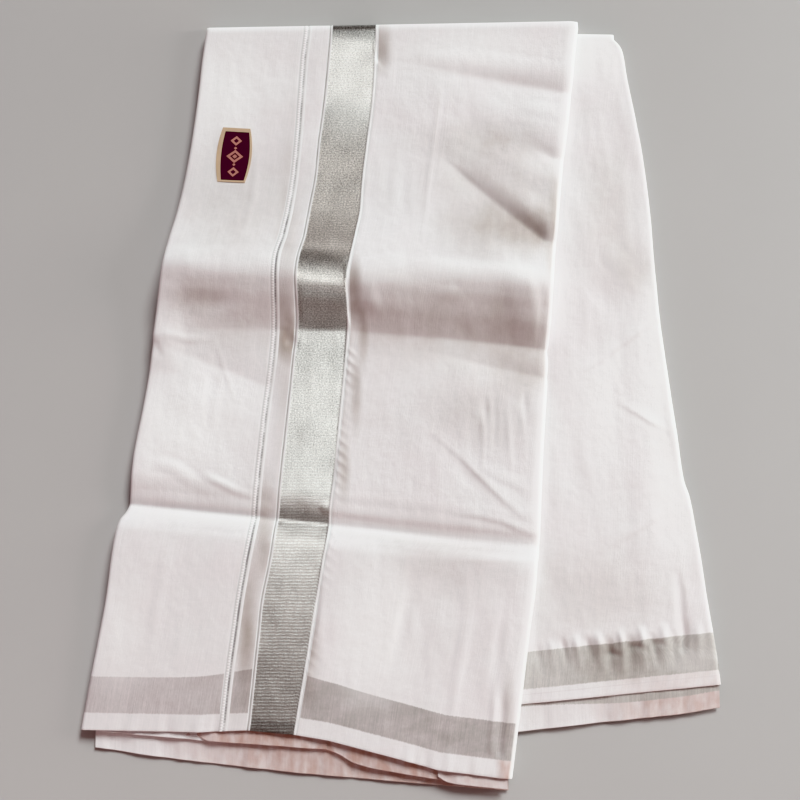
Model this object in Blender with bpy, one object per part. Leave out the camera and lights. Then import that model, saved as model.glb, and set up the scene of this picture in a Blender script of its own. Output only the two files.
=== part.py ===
"""Folded dhoti cloth, built at real size in metres, +Z up.

A dhoti is one long cotton cloth with no seams, here 4.00 m long and 1.27 m wide. It is
pleated along its length into a strip of twelve thicknesses, a third of a metre wide, and
the strip is folded once across its middle, a little on the bias, so that its two leaves
lie on each other and fan apart towards their hems.
The origin is on the surface it lies on, under the middle of the whole bundle.
+X runs to the right along the top fold, +Y from the hems to the top fold.
"""
from collections import namedtuple
import math

import bmesh
import bpy
import numpy as np

MM = 0.001

# Walls and the clearance between pieces.
WALL = 1.2 * MM
GAP = 0.3 * MM
SEAM = 0.5 * MM

# The front leaf, in millimetres: where its two side edges run from the top fold to the
# hem, and how high its surface lies at its left edge, middle and right edge.
FrontRow = namedtuple("FrontRow", "x_left y_left x_right y_right z_left z_mid z_right")
FRONT_ROWS = (
    FrontRow(-172, 318, 158, 318, 15.0, 15.0, 15.0),
    FrontRow(-175, 292, 154, 286, 15.0, 15.0, 15.0),
    FrontRow(-178, 255, 150, 250, 15.0, 15.5, 15.0),
    FrontRow(-182, 218, 145, 213, 15.0, 16.0, 16.0),
    FrontRow(-187, 181, 140, 177, 16.0, 17.5, 18.0),
    FrontRow(-192, 150, 136, 140, 19.5, 21.0, 20.5),
    FrontRow(-197, 124, 132, 105, 25.0, 27.0, 25.0),
    FrontRow(-200, 103, 129, 77, 29.0, 31.0, 28.0),
    FrontRow(-203, 86, 128, 58, 24.0, 26.0, 22.0),
    FrontRow(-207, 58, 126, 34, 16.5, 17.0, 15.5),
    FrontRow(-211, 20, 125, 6, 14.0, 15.0, 15.0),
    FrontRow(-216, -18, 122, -26, 14.0, 15.0, 15.5),
    FrontRow(-222, -54, 119, -66, 14.0, 15.0, 15.5),
    FrontRow(-226, -99, 115, -134, 14.5, 15.0, 15.5),
    FrontRow(-233, -114, 113, -149, 15.0, 16.0, 16.0),
    FrontRow(-237, -138, 111, -170, 15.5, 16.5, 15.5),
    FrontRow(-241, -177, 106, -202, 14.5, 16.0, 15.0),
    FrontRow(-247, -214, 101, -238, 12.5, 14.5, 13.5),
    FrontRow(-253, -248, 96, -274, 10.5, 13.5, 12.5),
    FrontRow(-258, -279, 90, -316, 9.0, 12.5, 12.0),
)
VALLEY_ROW = 13
HEM_ROW = len(FRONT_ROWS) - 1

# The hem of the front leaf is drawn up in its middle, by the stiff woven band.
HemLift = namedtuple("HemLift", "across lift")
HEM_LIFTS = (
    HemLift(0.00, 0.0),
    HemLift(0.28, 9.0),
    HemLift(0.39, 14.7),
    HemLift(0.50, 15.5),
    HemLift(0.58, 14.0),
    HemLift(0.74, 6.0),
    HemLift(0.83, 1.0),
    HemLift(1.00, 0.0),
)
HEM_LIFT_STARTS = 15.0

# Creases pressed into the front leaf, in millimetres: the line they run on, how deep they
# are at its two ends, and how far their flanks reach on the upper and lower side.
Crease = namedtuple("Crease", "x0 y0 x1 y1 depth0 depth1 upper lower")
CREASES = (
    Crease(-240, -97.6, 130, -135.5, 6.5, 2.8, 26, 13),
    Crease(42, 204, 134, 117, 1.0, 6.0, 20, 12),
    Crease(3, 287, 150, 256, 0.5, 3.0, 18, 10),
)
CREASE_FADE = 15.0 * MM
CREASE_CURVE = 1.5

# The rear leaf, in millimetres: its rows start at the side of the front leaf.
RearRow = namedtuple("RearRow", "y_left x_right y_right z_left z_right")
REAR_ROWS = (
    RearRow(310, 190, 309, 8.0, 8.0),
    RearRow(298, 197, 298, 8.0, 8.0),
    RearRow(270, 201, 270, 8.0, 8.0),
    RearRow(235, 207, 233, 8.0, 8.0),
    RearRow(196, 212, 196, 8.2, 8.0),
    RearRow(150, 216, 150, 8.4, 8.0),
    RearRow(100, 218, 100, 8.2, 8.0),
    RearRow(50, 221, 52, 8.0, 8.0),
    RearRow(0, 226, 4, 8.0, 8.0),
    RearRow(-45, 231, -42, 8.0, 8.0),
    RearRow(-82, 235, -78, 8.2, 8.2),
    RearRow(-102, 240, -97, 8.2, 8.2),
    RearRow(-145, 246, -140, 8.0, 8.0),
    RearRow(-190, 251, -184, 8.0, 8.0),
    RearRow(-225, 255, -214, 7.8, 7.6),
    RearRow(-259, 258, -243, 7.4, 7.2),
)

# Round borders: how far the cloth reaches out and drops as it turns over an edge.
Turn = namedtuple("Turn", "reach drop")
TOP_FOLD = Turn(8.0 * MM, 9.0 * MM)
REAR_TOP_FOLD = Turn(6.0 * MM, 5.0 * MM)
LEFT_EDGE = Turn(3.0 * MM, 3.0 * MM)
RIGHT_FOLD = Turn(5.0 * MM, 4.5 * MM)
REAR_RIGHT_FOLD = Turn(4.0 * MM, 3.0 * MM)
TURN_STEPS = 3
PROBE = 0.004
LEAST_SKIRT = 0.4 * MM
CORNER_TURN = 1.0 * MM
SKIRT_CLEARANCE = 1.0 * MM
REAR_SKIRT_LEVEL = 4.2 * MM
LOWER_SKIRT_LEVEL = 3.8 * MM
PAST_REAR_HEM = 284 * MM

# The hem lips of the lower layers, in millimetres: where their edges run.
LipPoint = namedtuple("LipPoint", "x y")
MIDDLE_LIP_EDGE = (
    LipPoint(-244, -283),
    LipPoint(-194, -286),
    LipPoint(-160, -289),
    LipPoint(-112, -292),
    LipPoint(-68, -295),
    LipPoint(-51, -298),
    LipPoint(-38, -305),
    LipPoint(-23, -309),
    LipPoint(30, -317),
    LipPoint(86, -324),
)
BOTTOM_LIP_EDGE = (
    LipPoint(-247, -295),
    LipPoint(-204, -301),
    LipPoint(-161, -306),
    LipPoint(-80, -314),
    LipPoint(0, -320),
    LipPoint(87, -326),
)
REAR_LIP_EDGE = (
    LipPoint(97, -281),
    LipPoint(128, -277),
    LipPoint(192, -270),
    LipPoint(256.5, -261),
)
REAR_LIP_TUCK = (4.0 * MM, 3.0 * MM)
LIP_STEPS = 16
LIP_SHARES = (0.0, 0.35, 0.7, 1.0)
BOTTOM_LIP_START = 3.2 * MM
BOTTOM_LIP_HEM = 2.0 * MM
MIDDLE_LIP_HEM = 2.0 * MM
REAR_LIP_HEM = 2.6 * MM
LIP_OVERHANG = 8.0 * MM
TUCK = 20.0 * MM

# The sticker that says how long the cloth is, a barrel shape on the front leaf.
LABEL_CENTRE = (-143.5 * MM, 203.0 * MM)
LABEL_HALF_WIDTH = 12.0 * MM
LABEL_BULGE = 3.5 * MM
LABEL_HALF_HEIGHT = 25.0 * MM
LABEL_TURN = math.radians(-4.0)
LABEL_THICKNESS = 0.6 * MM

# How finely the surfaces are divided.
FRONT_COLUMNS = 22
REAR_COLUMNS = 6
FRONT_STEPS_PER_ROW = 2
REAR_STEPS_PER_ROW = 2
VALLEY_STATIONS = (VALLEY_ROW - 0.4, VALLEY_ROW - 0.2)
LABEL_ROWS = 9
LABEL_COLUMNS = 7
SHARP_ANGLE = math.radians(40)

# How often a search for a place on the leaf halves its range.
HALVINGS = 40

# Layered side of the hidden thicknesses: how far each bundle swells between its creases.
LayerRing = namedtuple("LayerRing", "down swell")
LAYER_RINGS = (
    LayerRing(0.00, 0.0),
    LayerRing(0.17, 1.0),
    LayerRing(0.34, 0.1),
    LayerRing(0.50, 0.9),
    LayerRing(0.66, 0.1),
    LayerRing(0.84, 0.9),
    LayerRing(1.00, 0.0),
)
LAYER_SWELL = 1.3 * MM
RIM_CLEARANCE = 0.5 * MM

WHITE_COTTON = ((0.86, 0.83, 0.83, 1.0), 0.85)
HIDDEN_COTTON = ((0.80, 0.74, 0.74, 1.0), 0.90)
HEM_COTTON = ((0.78, 0.68, 0.66, 1.0), 0.90)
LABEL_PAPER = ((0.10, 0.012, 0.035, 1.0), 0.45)


def clear_scene():
    """Remove what the scene starts with."""
    for thing in list(bpy.data.objects):
        bpy.data.objects.remove(thing, do_unlink=True)


def material(name, finish):
    """A plain Principled material with a colour and a roughness."""
    colour, roughness = finish
    made = bpy.data.materials.new(name)
    made.use_nodes = True
    shader = made.node_tree.nodes["Principled BSDF"]
    shader.inputs["Base Color"].default_value = colour
    shader.inputs["Roughness"].default_value = roughness
    shader.inputs["Metallic"].default_value = 0.0
    made.diffuse_color = colour
    return made


def smooth_row(rows, v):
    """A table's row at a place between its rows, on a smooth curve through them."""
    last = len(rows) - 1
    i = min(max(int(math.floor(v)), 0), last - 1)
    u = v - i
    before, start, end, after = (np.array(rows[min(max(k, 0), last)], float)
                                 for k in (i - 1, i, i + 1, i + 2))
    slope_start = (end - before) / 2
    slope_end = (after - start) / 2
    return (start * (2 * u**3 - 3 * u**2 + 1) + slope_start * (u**3 - 2 * u**2 + u)
            + end * (3 * u**2 - 2 * u**3) + slope_end * (u**3 - u**2))


def smooth_step(low, high, value):
    """0 below low, 1 above high, and a soft change between them."""
    u = min(max((value - low) / (high - low), 0.0), 1.0)
    return u * u * (3 - 2 * u)


def hem_lift(across, v):
    """How far the front leaf is drawn up towards the top fold."""
    lifts = np.interp(across, [h.across for h in HEM_LIFTS], [h.lift for h in HEM_LIFTS])
    return lifts * MM * smooth_step(HEM_LIFT_STARTS, HEM_ROW - 1, v)


def crease_depth(x, y):
    """How far the creases press the front leaf down at a place."""
    depth = 0.0
    for crease in CREASES:
        start = np.array((crease.x0, crease.y0)) * MM
        run = np.array((crease.x1, crease.y1)) * MM - start
        length = np.hypot(*run)
        along = ((x - start[0]) * run[0] + (y - start[1]) * run[1]) / length
        aside = ((y - start[1]) * run[0] - (x - start[0]) * run[1]) / length
        flank = (crease.upper if aside > 0 else crease.lower) * MM
        slope = max(0.0, 1 - abs(aside) / flank)
        share = min(max(along / length, 0.0), 1.0)
        beyond = max(0.0, -along, along - length)
        fade = max(0.0, 1 - beyond / CREASE_FADE)
        here = (crease.depth0 + (crease.depth1 - crease.depth0) * share) * MM
        depth += here * slope**CREASE_CURVE * fade
    return depth


def front_place(across, v):
    """A point of the front leaf's surface, without its round borders."""
    row = smooth_row(FRONT_ROWS, v) * MM
    x = row[0] + (row[2] - row[0]) * across
    y = row[1] + (row[3] - row[1]) * across + hem_lift(across, v)
    left, middle, right = row[4:7]
    bow = 4 * across * (1 - across)
    z = left + (right - left) * across + (middle - (left + right) / 2) * bow
    return np.array((x, y, z - crease_depth(x, y)))


def front_edge_x(y):
    """Where the front leaf's right-hand fold lies at a distance along Y."""
    low, high = 0.0, float(HEM_ROW)
    for _ in range(HALVINGS):
        middle = (low + high) / 2
        if smooth_row(FRONT_ROWS, middle)[3] * MM > y:
            low = middle
        else:
            high = middle
    return smooth_row(FRONT_ROWS, low)[2] * MM


def front_params(x, y):
    """Share across and row number of a place on the front leaf."""
    low, high = 0.0, float(HEM_ROW)
    across = 0.5
    for _ in range(HALVINGS):
        middle = (low + high) / 2
        row = smooth_row(FRONT_ROWS, middle) * MM
        across = (x - row[0]) / (row[2] - row[0])
        if front_place(across, middle)[1] > y:
            low = middle
        else:
            high = middle
    return across, low


def rear_place(across, v):
    """A point of the rear leaf's surface, without its round borders."""
    row = smooth_row(REAR_ROWS, v) * MM
    fold_reach = REAR_TOP_FOLD.reach * max(0.0, 1 - v)
    x_left = front_edge_x(row[0] + fold_reach) + SEAM
    x = x_left + (row[1] - x_left) * across
    y = row[0] + (row[2] - row[0]) * across
    return np.array((x, y, row[3] + (row[4] - row[3]) * across))


def right_skirt_level(y):
    """How low the front leaf's right-hand fold hangs: onto the rear leaf, or past its hem."""
    upwards = REAR_ROWS[::-1]
    rear_top = np.interp(y, [row.y_left * MM for row in upwards],
                         [row.z_left * MM for row in upwards])
    past_hem = smooth_step(-REAR_ROWS[-1].y_left * MM, PAST_REAR_HEM, -y)
    rest = rear_top - WALL
    return rest + (LOWER_SKIRT_LEVEL - rest) * past_hem


def level(height):
    """The same height wherever it is asked for."""
    return lambda *place: height


def sunk_place(place, across, v, inset):
    """A surface point moved into the cloth, square to the surface."""
    point = place(across, v)
    if not inset:
        return point
    sideways = place(across + PROBE, v) - place(across - PROBE, v)
    down = place(across, v + PROBE) - place(across, v - PROBE)
    normal = np.cross(down, sideways)
    return point - normal / np.linalg.norm(normal) * inset


def turned_grid(place, stations, shares, turns, skirt, inset=0.0):
    """Rows of surface points, turned down round the top fold and the side edges.

    turns holds the borders at the top, left and right. skirt(y) gives the level that the
    right-hand border hangs down to. With an inset the grid lies that far inside the cloth.
    """
    top_turn, left_turn, right_turn = turns
    angles = [math.pi / 2 * k / TURN_STEPS for k in range(1, TURN_STEPS + 1)]
    rows = [(stations[0], a) for a in reversed(angles)] + [(v, 0.0) for v in stations]
    grid = []
    for v, top_angle in rows:
        start, end = place(0.0, v), place(1.0, v)
        width = np.hypot(*(end - start)[:2])
        outward = (end - start) / width
        outward[2] = 0.0
        upward = np.array((0.0, 0.0, math.cos(top_angle)))
        first = left_turn.reach / width if left_turn else 0.0
        last = 1 - right_turn.reach / width
        points = [sunk_place(place, first + (last - first) * share, v, inset)
                  for share in shares]
        if left_turn:
            points = [points[0] - outward * (left_turn.reach - inset) * math.sin(a)
                      - upward * (left_turn.drop - inset) * (1 - math.cos(a))
                      for a in reversed(angles)] + points
        border = points[-1]
        for a in angles:
            points.append(border + outward * (right_turn.reach - inset) * math.sin(a)
                          - upward * (right_turn.drop - inset) * (1 - math.cos(a)))
        hang = max(points[-1][2] - skirt(points[-1][1]), LEAST_SKIRT)
        corner = np.array((0, CORNER_TURN * math.sin(top_angle), 0))
        points.append(points[-1] - upward * hang - corner)
        for point in points:
            point[1] += (top_turn.reach - inset) * math.sin(top_angle)
            point[2] -= (top_turn.drop - inset) * (1 - math.cos(top_angle))
        grid.append(points)
    floor_row = [point.copy() for point in grid[0]]
    for point in floor_row:
        point[2] = SKIRT_CLEARANCE
    return np.array([floor_row] + grid)


def grid_faces(row_count, column_count):
    """The faces of a grid of points, facing up, all split along the same diagonal."""
    faces = []
    for r in range(row_count - 1):
        for c in range(column_count - 1):
            here = r * column_count + c
            below = here + column_count
            faces.append((here, below, below + 1))
            faces.append((here, below + 1, here + 1))
    return faces


def new_object(name, points, faces, finish, smooth=True):
    """A named object with its own mesh and material."""
    mesh = bpy.data.meshes.new(name)
    mesh.from_pydata([tuple(p) for p in points], [], faces)
    mesh.validate()
    made = bpy.data.objects.new(name, mesh)
    bpy.context.scene.collection.objects.link(made)
    mesh.materials.append(material(name + "_finish", finish))
    if smooth:
        mesh.shade_smooth()
        mesh.set_sharp_from_angle(angle=SHARP_ANGLE)
    return made


def core_mesh(name, grid, swells, panel_rims, finish):
    """A closed solid under a grid of points, flat below, with layered sides.

    swells gives how far the layers swell at the top, right, bottom and left side, and
    panel_rims how low the panel hangs there: the layers show below it.
    """
    rows, columns = grid.shape[:2]
    rim = ([(0, c) for c in range(columns)] + [(r, columns - 1) for r in range(1, rows)]
           + [(rows - 1, c) for c in range(columns - 2, -1, -1)]
           + [(r, 0) for r in range(rows - 2, 0, -1)])
    side_of = ([0] * columns + [1] * (rows - 2) + [2] * columns + [3] * (rows - 2))
    outward = (np.array((0, 1, 0)), np.array((1, 0, 0)), np.array((0, -1, 0)),
               np.array((-1, 0, 0)))
    points = [tuple(p) for p in grid.reshape(-1, 3)]
    faces = grid_faces(rows, columns)
    ring = [r * columns + c for r, c in rim]
    for layer in LAYER_RINGS:
        following = []
        for (r, c), side in zip(rim, side_of):
            x, y, z = grid[r, c]
            start = min(z, panel_rims[side](y)) - RIM_CLEARANCE
            by_end = r < TURN_STEPS or r >= rows - 2
            swell = 0.0 if by_end else swells[side] * layer.swell
            moved = outward[side] * swell
            following.append(len(points))
            points.append((x + moved[0], y + moved[1], start * (1 - layer.down)))
        count = len(ring)
        for k in range(count):
            n = (k + 1) % count
            faces.append((ring[k], ring[n], following[n], following[k]))
        ring = following
    faces.append(tuple(reversed(ring)))
    made = new_object(name, points, faces, finish, smooth=False)
    fix_outside(made)
    return made


def fix_outside(made):
    """Turn every face of a closed mesh outwards."""
    body = bmesh.new()
    body.from_mesh(made.data)
    bmesh.ops.recalc_face_normals(body, faces=body.faces)
    body.to_mesh(made.data)
    body.free()


def slab(name, top, bottom, finish):
    """A closed solid between two grids of points with the same rows and columns."""
    rows, columns = top.shape[:2]
    count = rows * columns
    faces = grid_faces(rows, columns)
    faces += [tuple(count + i for i in reversed(face)) for face in faces]
    rim = ([(0, c) for c in range(columns)] + [(r, columns - 1) for r in range(1, rows)]
           + [(rows - 1, c) for c in range(columns - 2, -1, -1)]
           + [(r, 0) for r in range(rows - 2, 0, -1)])
    ring = [r * columns + c for r, c in rim]
    for k, here in enumerate(ring):
        following = ring[(k + 1) % len(ring)]
        faces.append((here, following, count + following, count + here))
    points = np.concatenate((top.reshape(-1, 3), bottom.reshape(-1, 3)))
    made = new_object(name, points, faces, finish)
    fix_outside(made)
    return made


def edge_y(edge, x):
    """A lip edge's Y at a distance along X."""
    return np.interp(x, [p.x * MM for p in edge], [p.y * MM for p in edge])


def lip_rows(edge, start_y, height, tuck=(0.0, 0.0)):
    """Rows of a hem lip's points, from the line where it starts out to its edge.

    start_y(x) is the line's Y, height(x, share) the level at a share of the way out, and
    tuck how far each end of the line lies inwards from the end of the edge.
    """
    rows = []
    for share in LIP_SHARES:
        left = edge[0].x * MM + tuck[0] * (1 - share)
        right = edge[-1].x * MM - tuck[1] * (1 - share)
        row = []
        for x in np.linspace(left, right, LIP_STEPS + 1):
            y = start_y(x) + (edge_y(edge, x) - start_y(x)) * share
            row.append((x, y, height(x, share)))
        rows.append(row)
    return np.array(rows)


def label_grid(lift):
    """The barrel-shaped sticker's points, lifted off the front leaf."""
    rows = []
    for down in np.linspace(1, -1, LABEL_ROWS):
        row = []
        for aside in np.linspace(-1, 1, LABEL_COLUMNS):
            half = LABEL_HALF_WIDTH + LABEL_BULGE * (1 - down**2)
            x, y = aside * half, down * LABEL_HALF_HEIGHT
            x, y = (x * math.cos(LABEL_TURN) - y * math.sin(LABEL_TURN),
                    x * math.sin(LABEL_TURN) + y * math.cos(LABEL_TURN))
            x, y = x + LABEL_CENTRE[0], y + LABEL_CENTRE[1]
            point = front_place(*front_params(x, y))
            row.append((x, y, point[2] + lift))
        rows.append(row)
    return np.array(rows)


def front_stations():
    """Row numbers at which the front leaf's surface is worked out."""
    count = HEM_ROW * FRONT_STEPS_PER_ROW
    even = [k / FRONT_STEPS_PER_ROW for k in range(count + 1)]
    return sorted(set(even) | set(VALLEY_STATIONS))


def rear_stations():
    """Row numbers at which the rear leaf's surface is worked out."""
    count = (len(REAR_ROWS) - 1) * REAR_STEPS_PER_ROW
    return [k / REAR_STEPS_PER_ROW for k in range(count + 1)]


def shorten(grid, by):
    """End a grid short of its hem by moving its last row up towards the row before."""
    shorter = grid.copy()
    run = grid[-2] - grid[-1]
    lengths = np.linalg.norm(run[:, :2], axis=1)[:, None]
    shorter[-1] = grid[-1] + run / lengths * by
    return shorter


def build():
    """Make every piece."""
    clear_scene()

    def front_grid(inset):
        """The front leaf's surface, or one that lies inside it."""
        return turned_grid(front_place, front_stations(),
                           np.linspace(0, 1, FRONT_COLUMNS + 1),
                           (TOP_FOLD, LEFT_EDGE, RIGHT_FOLD), right_skirt_level, inset)

    def rear_grid(inset):
        """The rear leaf's surface, or one that lies inside it."""
        return turned_grid(rear_place, rear_stations(), np.linspace(0, 1, REAR_COLUMNS + 1),
                           (REAR_TOP_FOLD, None, REAR_RIGHT_FOLD), level(REAR_SKIRT_LEVEL),
                           inset)

    slab("front_top_panel", front_grid(0.0), front_grid(WALL), WHITE_COTTON)
    front_core = shorten(front_grid(WALL + GAP)[1:, :-1], LIP_OVERHANG)
    hidden = core_mesh("hidden_layers", front_core, (0.0, LAYER_SWELL, 0.0, LAYER_SWELL),
                       (level(SKIRT_CLEARANCE), right_skirt_level, level(math.inf),
                        level(math.inf)), HIDDEN_COTTON)

    slab("rear_top_panel", rear_grid(0.0), rear_grid(WALL), WHITE_COTTON)
    rear_core = shorten(rear_grid(WALL + GAP)[1:, :-1], LIP_OVERHANG)
    tucked = rear_core[:, :1].copy()
    tucked[:, :, 0] -= TUCK
    rear_body = core_mesh("rear_hidden_layers", np.concatenate((tucked, rear_core), axis=1),
                          (0.0, LAYER_SWELL, 0.0, 0.0),
                          (level(SKIRT_CLEARANCE), level(REAR_SKIRT_LEVEL),
                           level(math.inf), level(math.inf)), HIDDEN_COTTON)
    rear_body.hide_render = True
    rear_body.display_type = "WIRE"
    joined = hidden.modifiers.new("both leaves", "BOOLEAN")
    joined.operation = "UNION"
    joined.solver = "EXACT"
    joined.object = rear_body

    add_front_lips(front_core[-1])
    add_rear_lip(rear_core[-1])
    slab("size_label", label_grid(GAP + LABEL_THICKNESS), label_grid(GAP), LABEL_PAPER)


def add_front_lips(end):
    """The hems of the lower thicknesses, below the front hem and a little past it.

    end is the last row of the hidden layers: the lips start there and are no higher.
    """
    def start_y(x):
        return np.interp(x, end[:, 0], end[:, 1]) - GAP

    def start_z(x):
        return np.interp(x, end[:, 0], end[:, 2])

    def bottom_top(x, share):
        return BOTTOM_LIP_START + (BOTTOM_LIP_HEM - BOTTOM_LIP_START) * share

    def middle_bottom(x, share):
        start = start_y(x)
        reach = (edge_y(MIDDLE_LIP_EDGE, x) - start) / (edge_y(BOTTOM_LIP_EDGE, x) - start)
        return bottom_top(x, share * min(reach, 1.0)) + GAP

    def middle_top(x, share):
        hem = middle_bottom(x, 1.0) + MIDDLE_LIP_HEM
        return start_z(x) + (hem - start_z(x)) * share

    slab("front_middle_hem", lip_rows(MIDDLE_LIP_EDGE, start_y, middle_top),
         lip_rows(MIDDLE_LIP_EDGE, start_y, middle_bottom), HEM_COTTON)
    slab("front_bottom_hem", lip_rows(BOTTOM_LIP_EDGE, start_y, bottom_top),
         lip_rows(BOTTOM_LIP_EDGE, start_y, level(0.0)), HEM_COTTON)


def add_rear_lip(end):
    """The hem of the rear leaf's lower thicknesses, past its top panel's hem."""
    def start_y(x):
        return np.interp(x, end[:, 0], end[:, 1]) - GAP

    def top(x, share):
        start = np.interp(x, end[:, 0], end[:, 2])
        return start + (REAR_LIP_HEM - start) * share

    slab("rear_lower_hem", lip_rows(REAR_LIP_EDGE, start_y, top, REAR_LIP_TUCK),
         lip_rows(REAR_LIP_EDGE, start_y, level(0.0), REAR_LIP_TUCK), HEM_COTTON)


build()
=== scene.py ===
"""Looks of the folded dhoti cloth: fine thin sheets on the forms of its solids.

Lengths in the tables are millimetres in the part's own frame, as in its source: +X to the
right along the top fold, +Y from the hems to the top fold, +Z up.
"""
from collections import namedtuple
import math

import bpy
from mathutils import Matrix, Vector
from mathutils.bvhtree import BVHTree
import numpy as np


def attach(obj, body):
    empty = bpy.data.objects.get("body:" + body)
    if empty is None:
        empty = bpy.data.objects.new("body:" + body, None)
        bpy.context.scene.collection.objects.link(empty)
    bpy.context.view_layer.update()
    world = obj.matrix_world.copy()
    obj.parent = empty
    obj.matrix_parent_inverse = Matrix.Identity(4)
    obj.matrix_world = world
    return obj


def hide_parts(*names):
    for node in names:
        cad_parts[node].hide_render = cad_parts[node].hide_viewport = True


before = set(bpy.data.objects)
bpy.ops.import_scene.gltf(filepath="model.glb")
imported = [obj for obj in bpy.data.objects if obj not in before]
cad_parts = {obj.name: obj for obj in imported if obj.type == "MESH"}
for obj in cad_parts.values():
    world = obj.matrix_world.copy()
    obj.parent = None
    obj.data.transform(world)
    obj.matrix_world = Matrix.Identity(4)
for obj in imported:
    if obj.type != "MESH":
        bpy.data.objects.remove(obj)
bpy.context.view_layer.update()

MM = 0.001

# The solids' tables

FrontRow = namedtuple("FrontRow", "x_left y_left x_right y_right z_left z_mid z_right")
FRONT_ROWS = (
    FrontRow(-172, 318, 158, 318, 15.0, 15.0, 15.0),
    FrontRow(-175, 292, 154, 286, 15.0, 15.0, 15.0),
    FrontRow(-178, 255, 150, 250, 15.0, 15.5, 15.0),
    FrontRow(-182, 218, 145, 213, 15.0, 16.0, 16.0),
    FrontRow(-187, 181, 140, 177, 16.0, 17.5, 18.0),
    FrontRow(-192, 150, 136, 140, 19.5, 21.0, 20.5),
    FrontRow(-197, 124, 132, 105, 25.0, 27.0, 25.0),
    FrontRow(-200, 103, 129, 77, 29.0, 31.0, 28.0),
    FrontRow(-203, 86, 128, 58, 24.0, 26.0, 22.0),
    FrontRow(-207, 58, 126, 34, 16.5, 17.0, 15.5),
    FrontRow(-211, 20, 125, 6, 14.0, 15.0, 15.0),
    FrontRow(-216, -18, 122, -26, 14.0, 15.0, 15.5),
    FrontRow(-222, -54, 119, -66, 14.0, 15.0, 15.5),
    FrontRow(-226, -99, 115, -134, 14.5, 15.0, 15.5),
    FrontRow(-233, -114, 113, -149, 15.0, 16.0, 16.0),
    FrontRow(-237, -138, 111, -170, 15.5, 16.5, 15.5),
    FrontRow(-241, -177, 106, -202, 14.5, 16.0, 15.0),
    FrontRow(-247, -214, 101, -238, 12.5, 14.5, 13.5),
    FrontRow(-253, -248, 96, -274, 10.5, 13.5, 12.5),
    FrontRow(-258, -280.5, 90, -316, 9.0, 12.5, 12.0),
)
HEM_ROW = len(FRONT_ROWS) - 1

HemLift = namedtuple("HemLift", "across lift")
HEM_LIFTS = (
    HemLift(0.00, 0.0),
    HemLift(0.28, 9.0),
    HemLift(0.39, 14.7),
    HemLift(0.50, 15.5),
    HemLift(0.58, 14.0),
    HemLift(0.74, 6.0),
    HemLift(0.83, 1.0),
    HemLift(1.00, 0.0),
)
HEM_LIFT_STARTS = 15.0

PressedCrease = namedtuple("PressedCrease", "x0 y0 x1 y1 depth0 depth1 upper lower")
PRESSED_CREASES = (
    PressedCrease(-240, -97.6, 130, -135.5, 6.5, 3.2, 26, 20),
    PressedCrease(40, 196, 134, 113, 0.2, 0.8, 14, 40),
    PressedCrease(3, 287, 150, 256, 0.8, 3.4, 24, 34),
)
CREASE_FADE = 15.0
CREASE_SHARPNESS = 1.5

RearRow = namedtuple("RearRow", "y_left x_right y_right z_left z_right")
REAR_ROWS = (
    RearRow(310, 190, 309, 8.0, 8.0),
    RearRow(298, 197, 298, 8.0, 8.0),
    RearRow(270, 201, 270, 8.0, 8.0),
    RearRow(235, 207, 233, 8.0, 8.0),
    RearRow(196, 212, 196, 8.2, 8.0),
    RearRow(150, 216, 150, 8.4, 8.0),
    RearRow(100, 218, 100, 8.2, 8.0),
    RearRow(50, 221, 52, 8.0, 8.0),
    RearRow(0, 226, 4, 8.0, 8.0),
    RearRow(-45, 231, -42, 8.0, 8.0),
    RearRow(-82, 235, -78, 8.2, 8.2),
    RearRow(-102, 240, -97, 8.2, 8.2),
    RearRow(-145, 246, -140, 8.0, 8.0),
    RearRow(-190, 251, -184, 8.0, 8.0),
    RearRow(-225, 255, -214, 7.8, 7.6),
    RearRow(-259, 258, -243, 7.4, 7.2),
)

# Where the woven line and the silver band run on the front leaf, by distance along Y
BandRow = namedtuple("BandRow", "y line left right")
BAND_ROWS = (
    BandRow(321, -81.5, -58.5, -20.5),
    BandRow(291, -84.5, -60.5, -21.5),
    BandRow(253, -86.5, -63.5, -23.5),
    BandRow(217, -88.5, -67.5, -27.5),
    BandRow(180, -91.5, -70.5, -31.5),
    BandRow(149, -95.5, -75.5, -33.5),
    BandRow(126, -99.5, -78.5, -37.5),
    BandRow(110, -103.5, -82.5, -40.5),
    BandRow(91, -104.5, -84.5, -43.5),
    BandRow(56, -105.5, -84.5, -43.5),
    BandRow(22, -107.5, -87.5, -45.5),
    BandRow(-13, -111.5, -90.5, -48.5),
    BandRow(-46, -114.5, -93.5, -51.5),
    BandRow(-80, -117.5, -96.5, -54.5),
    BandRow(-104, -119.5, -98.5, -57.5),
    BandRow(-121, -121.5, -100.5, -58.5),
    BandRow(-145, -125.5, -103.5, -62.5),
    BandRow(-177, -130.5, -109.5, -67.5),
    BandRow(-209, -134.5, -112.5, -72.5),
    BandRow(-241, -138.5, -115.5, -77.5),
    BandRow(-272, -141.5, -118.5, -82.5),
    BandRow(-290, -143.5, -120.5, -85.0),
)
LINE_LEFT = 3.0
LINE_WIDTH = 8.0
LEFT_PIPING = 3.4
RIGHT_PIPING = 3.2

# Round borders: how far a sheet reaches out over an edge, and how it drops there
Nose = namedtuple("Nose", "reach upper")
TOP_NOSE = Nose(8.0, 9.0)
LEFT_NOSE = Nose(3.0, 3.0)
RIGHT_NOSE = Nose(9.0, 5.5)
REAR_TOP_NOSE = Nose(6.0, 5.0)
REAR_RIGHT_NOSE = Nose(4.0, 3.0)
NOSE_END = math.radians(162)
NOSE_STEPS = 9
UNDERSIDE_LEVEL = 0.4
REAR_TUCK = 12.0
SEAM = 0.5

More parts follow.
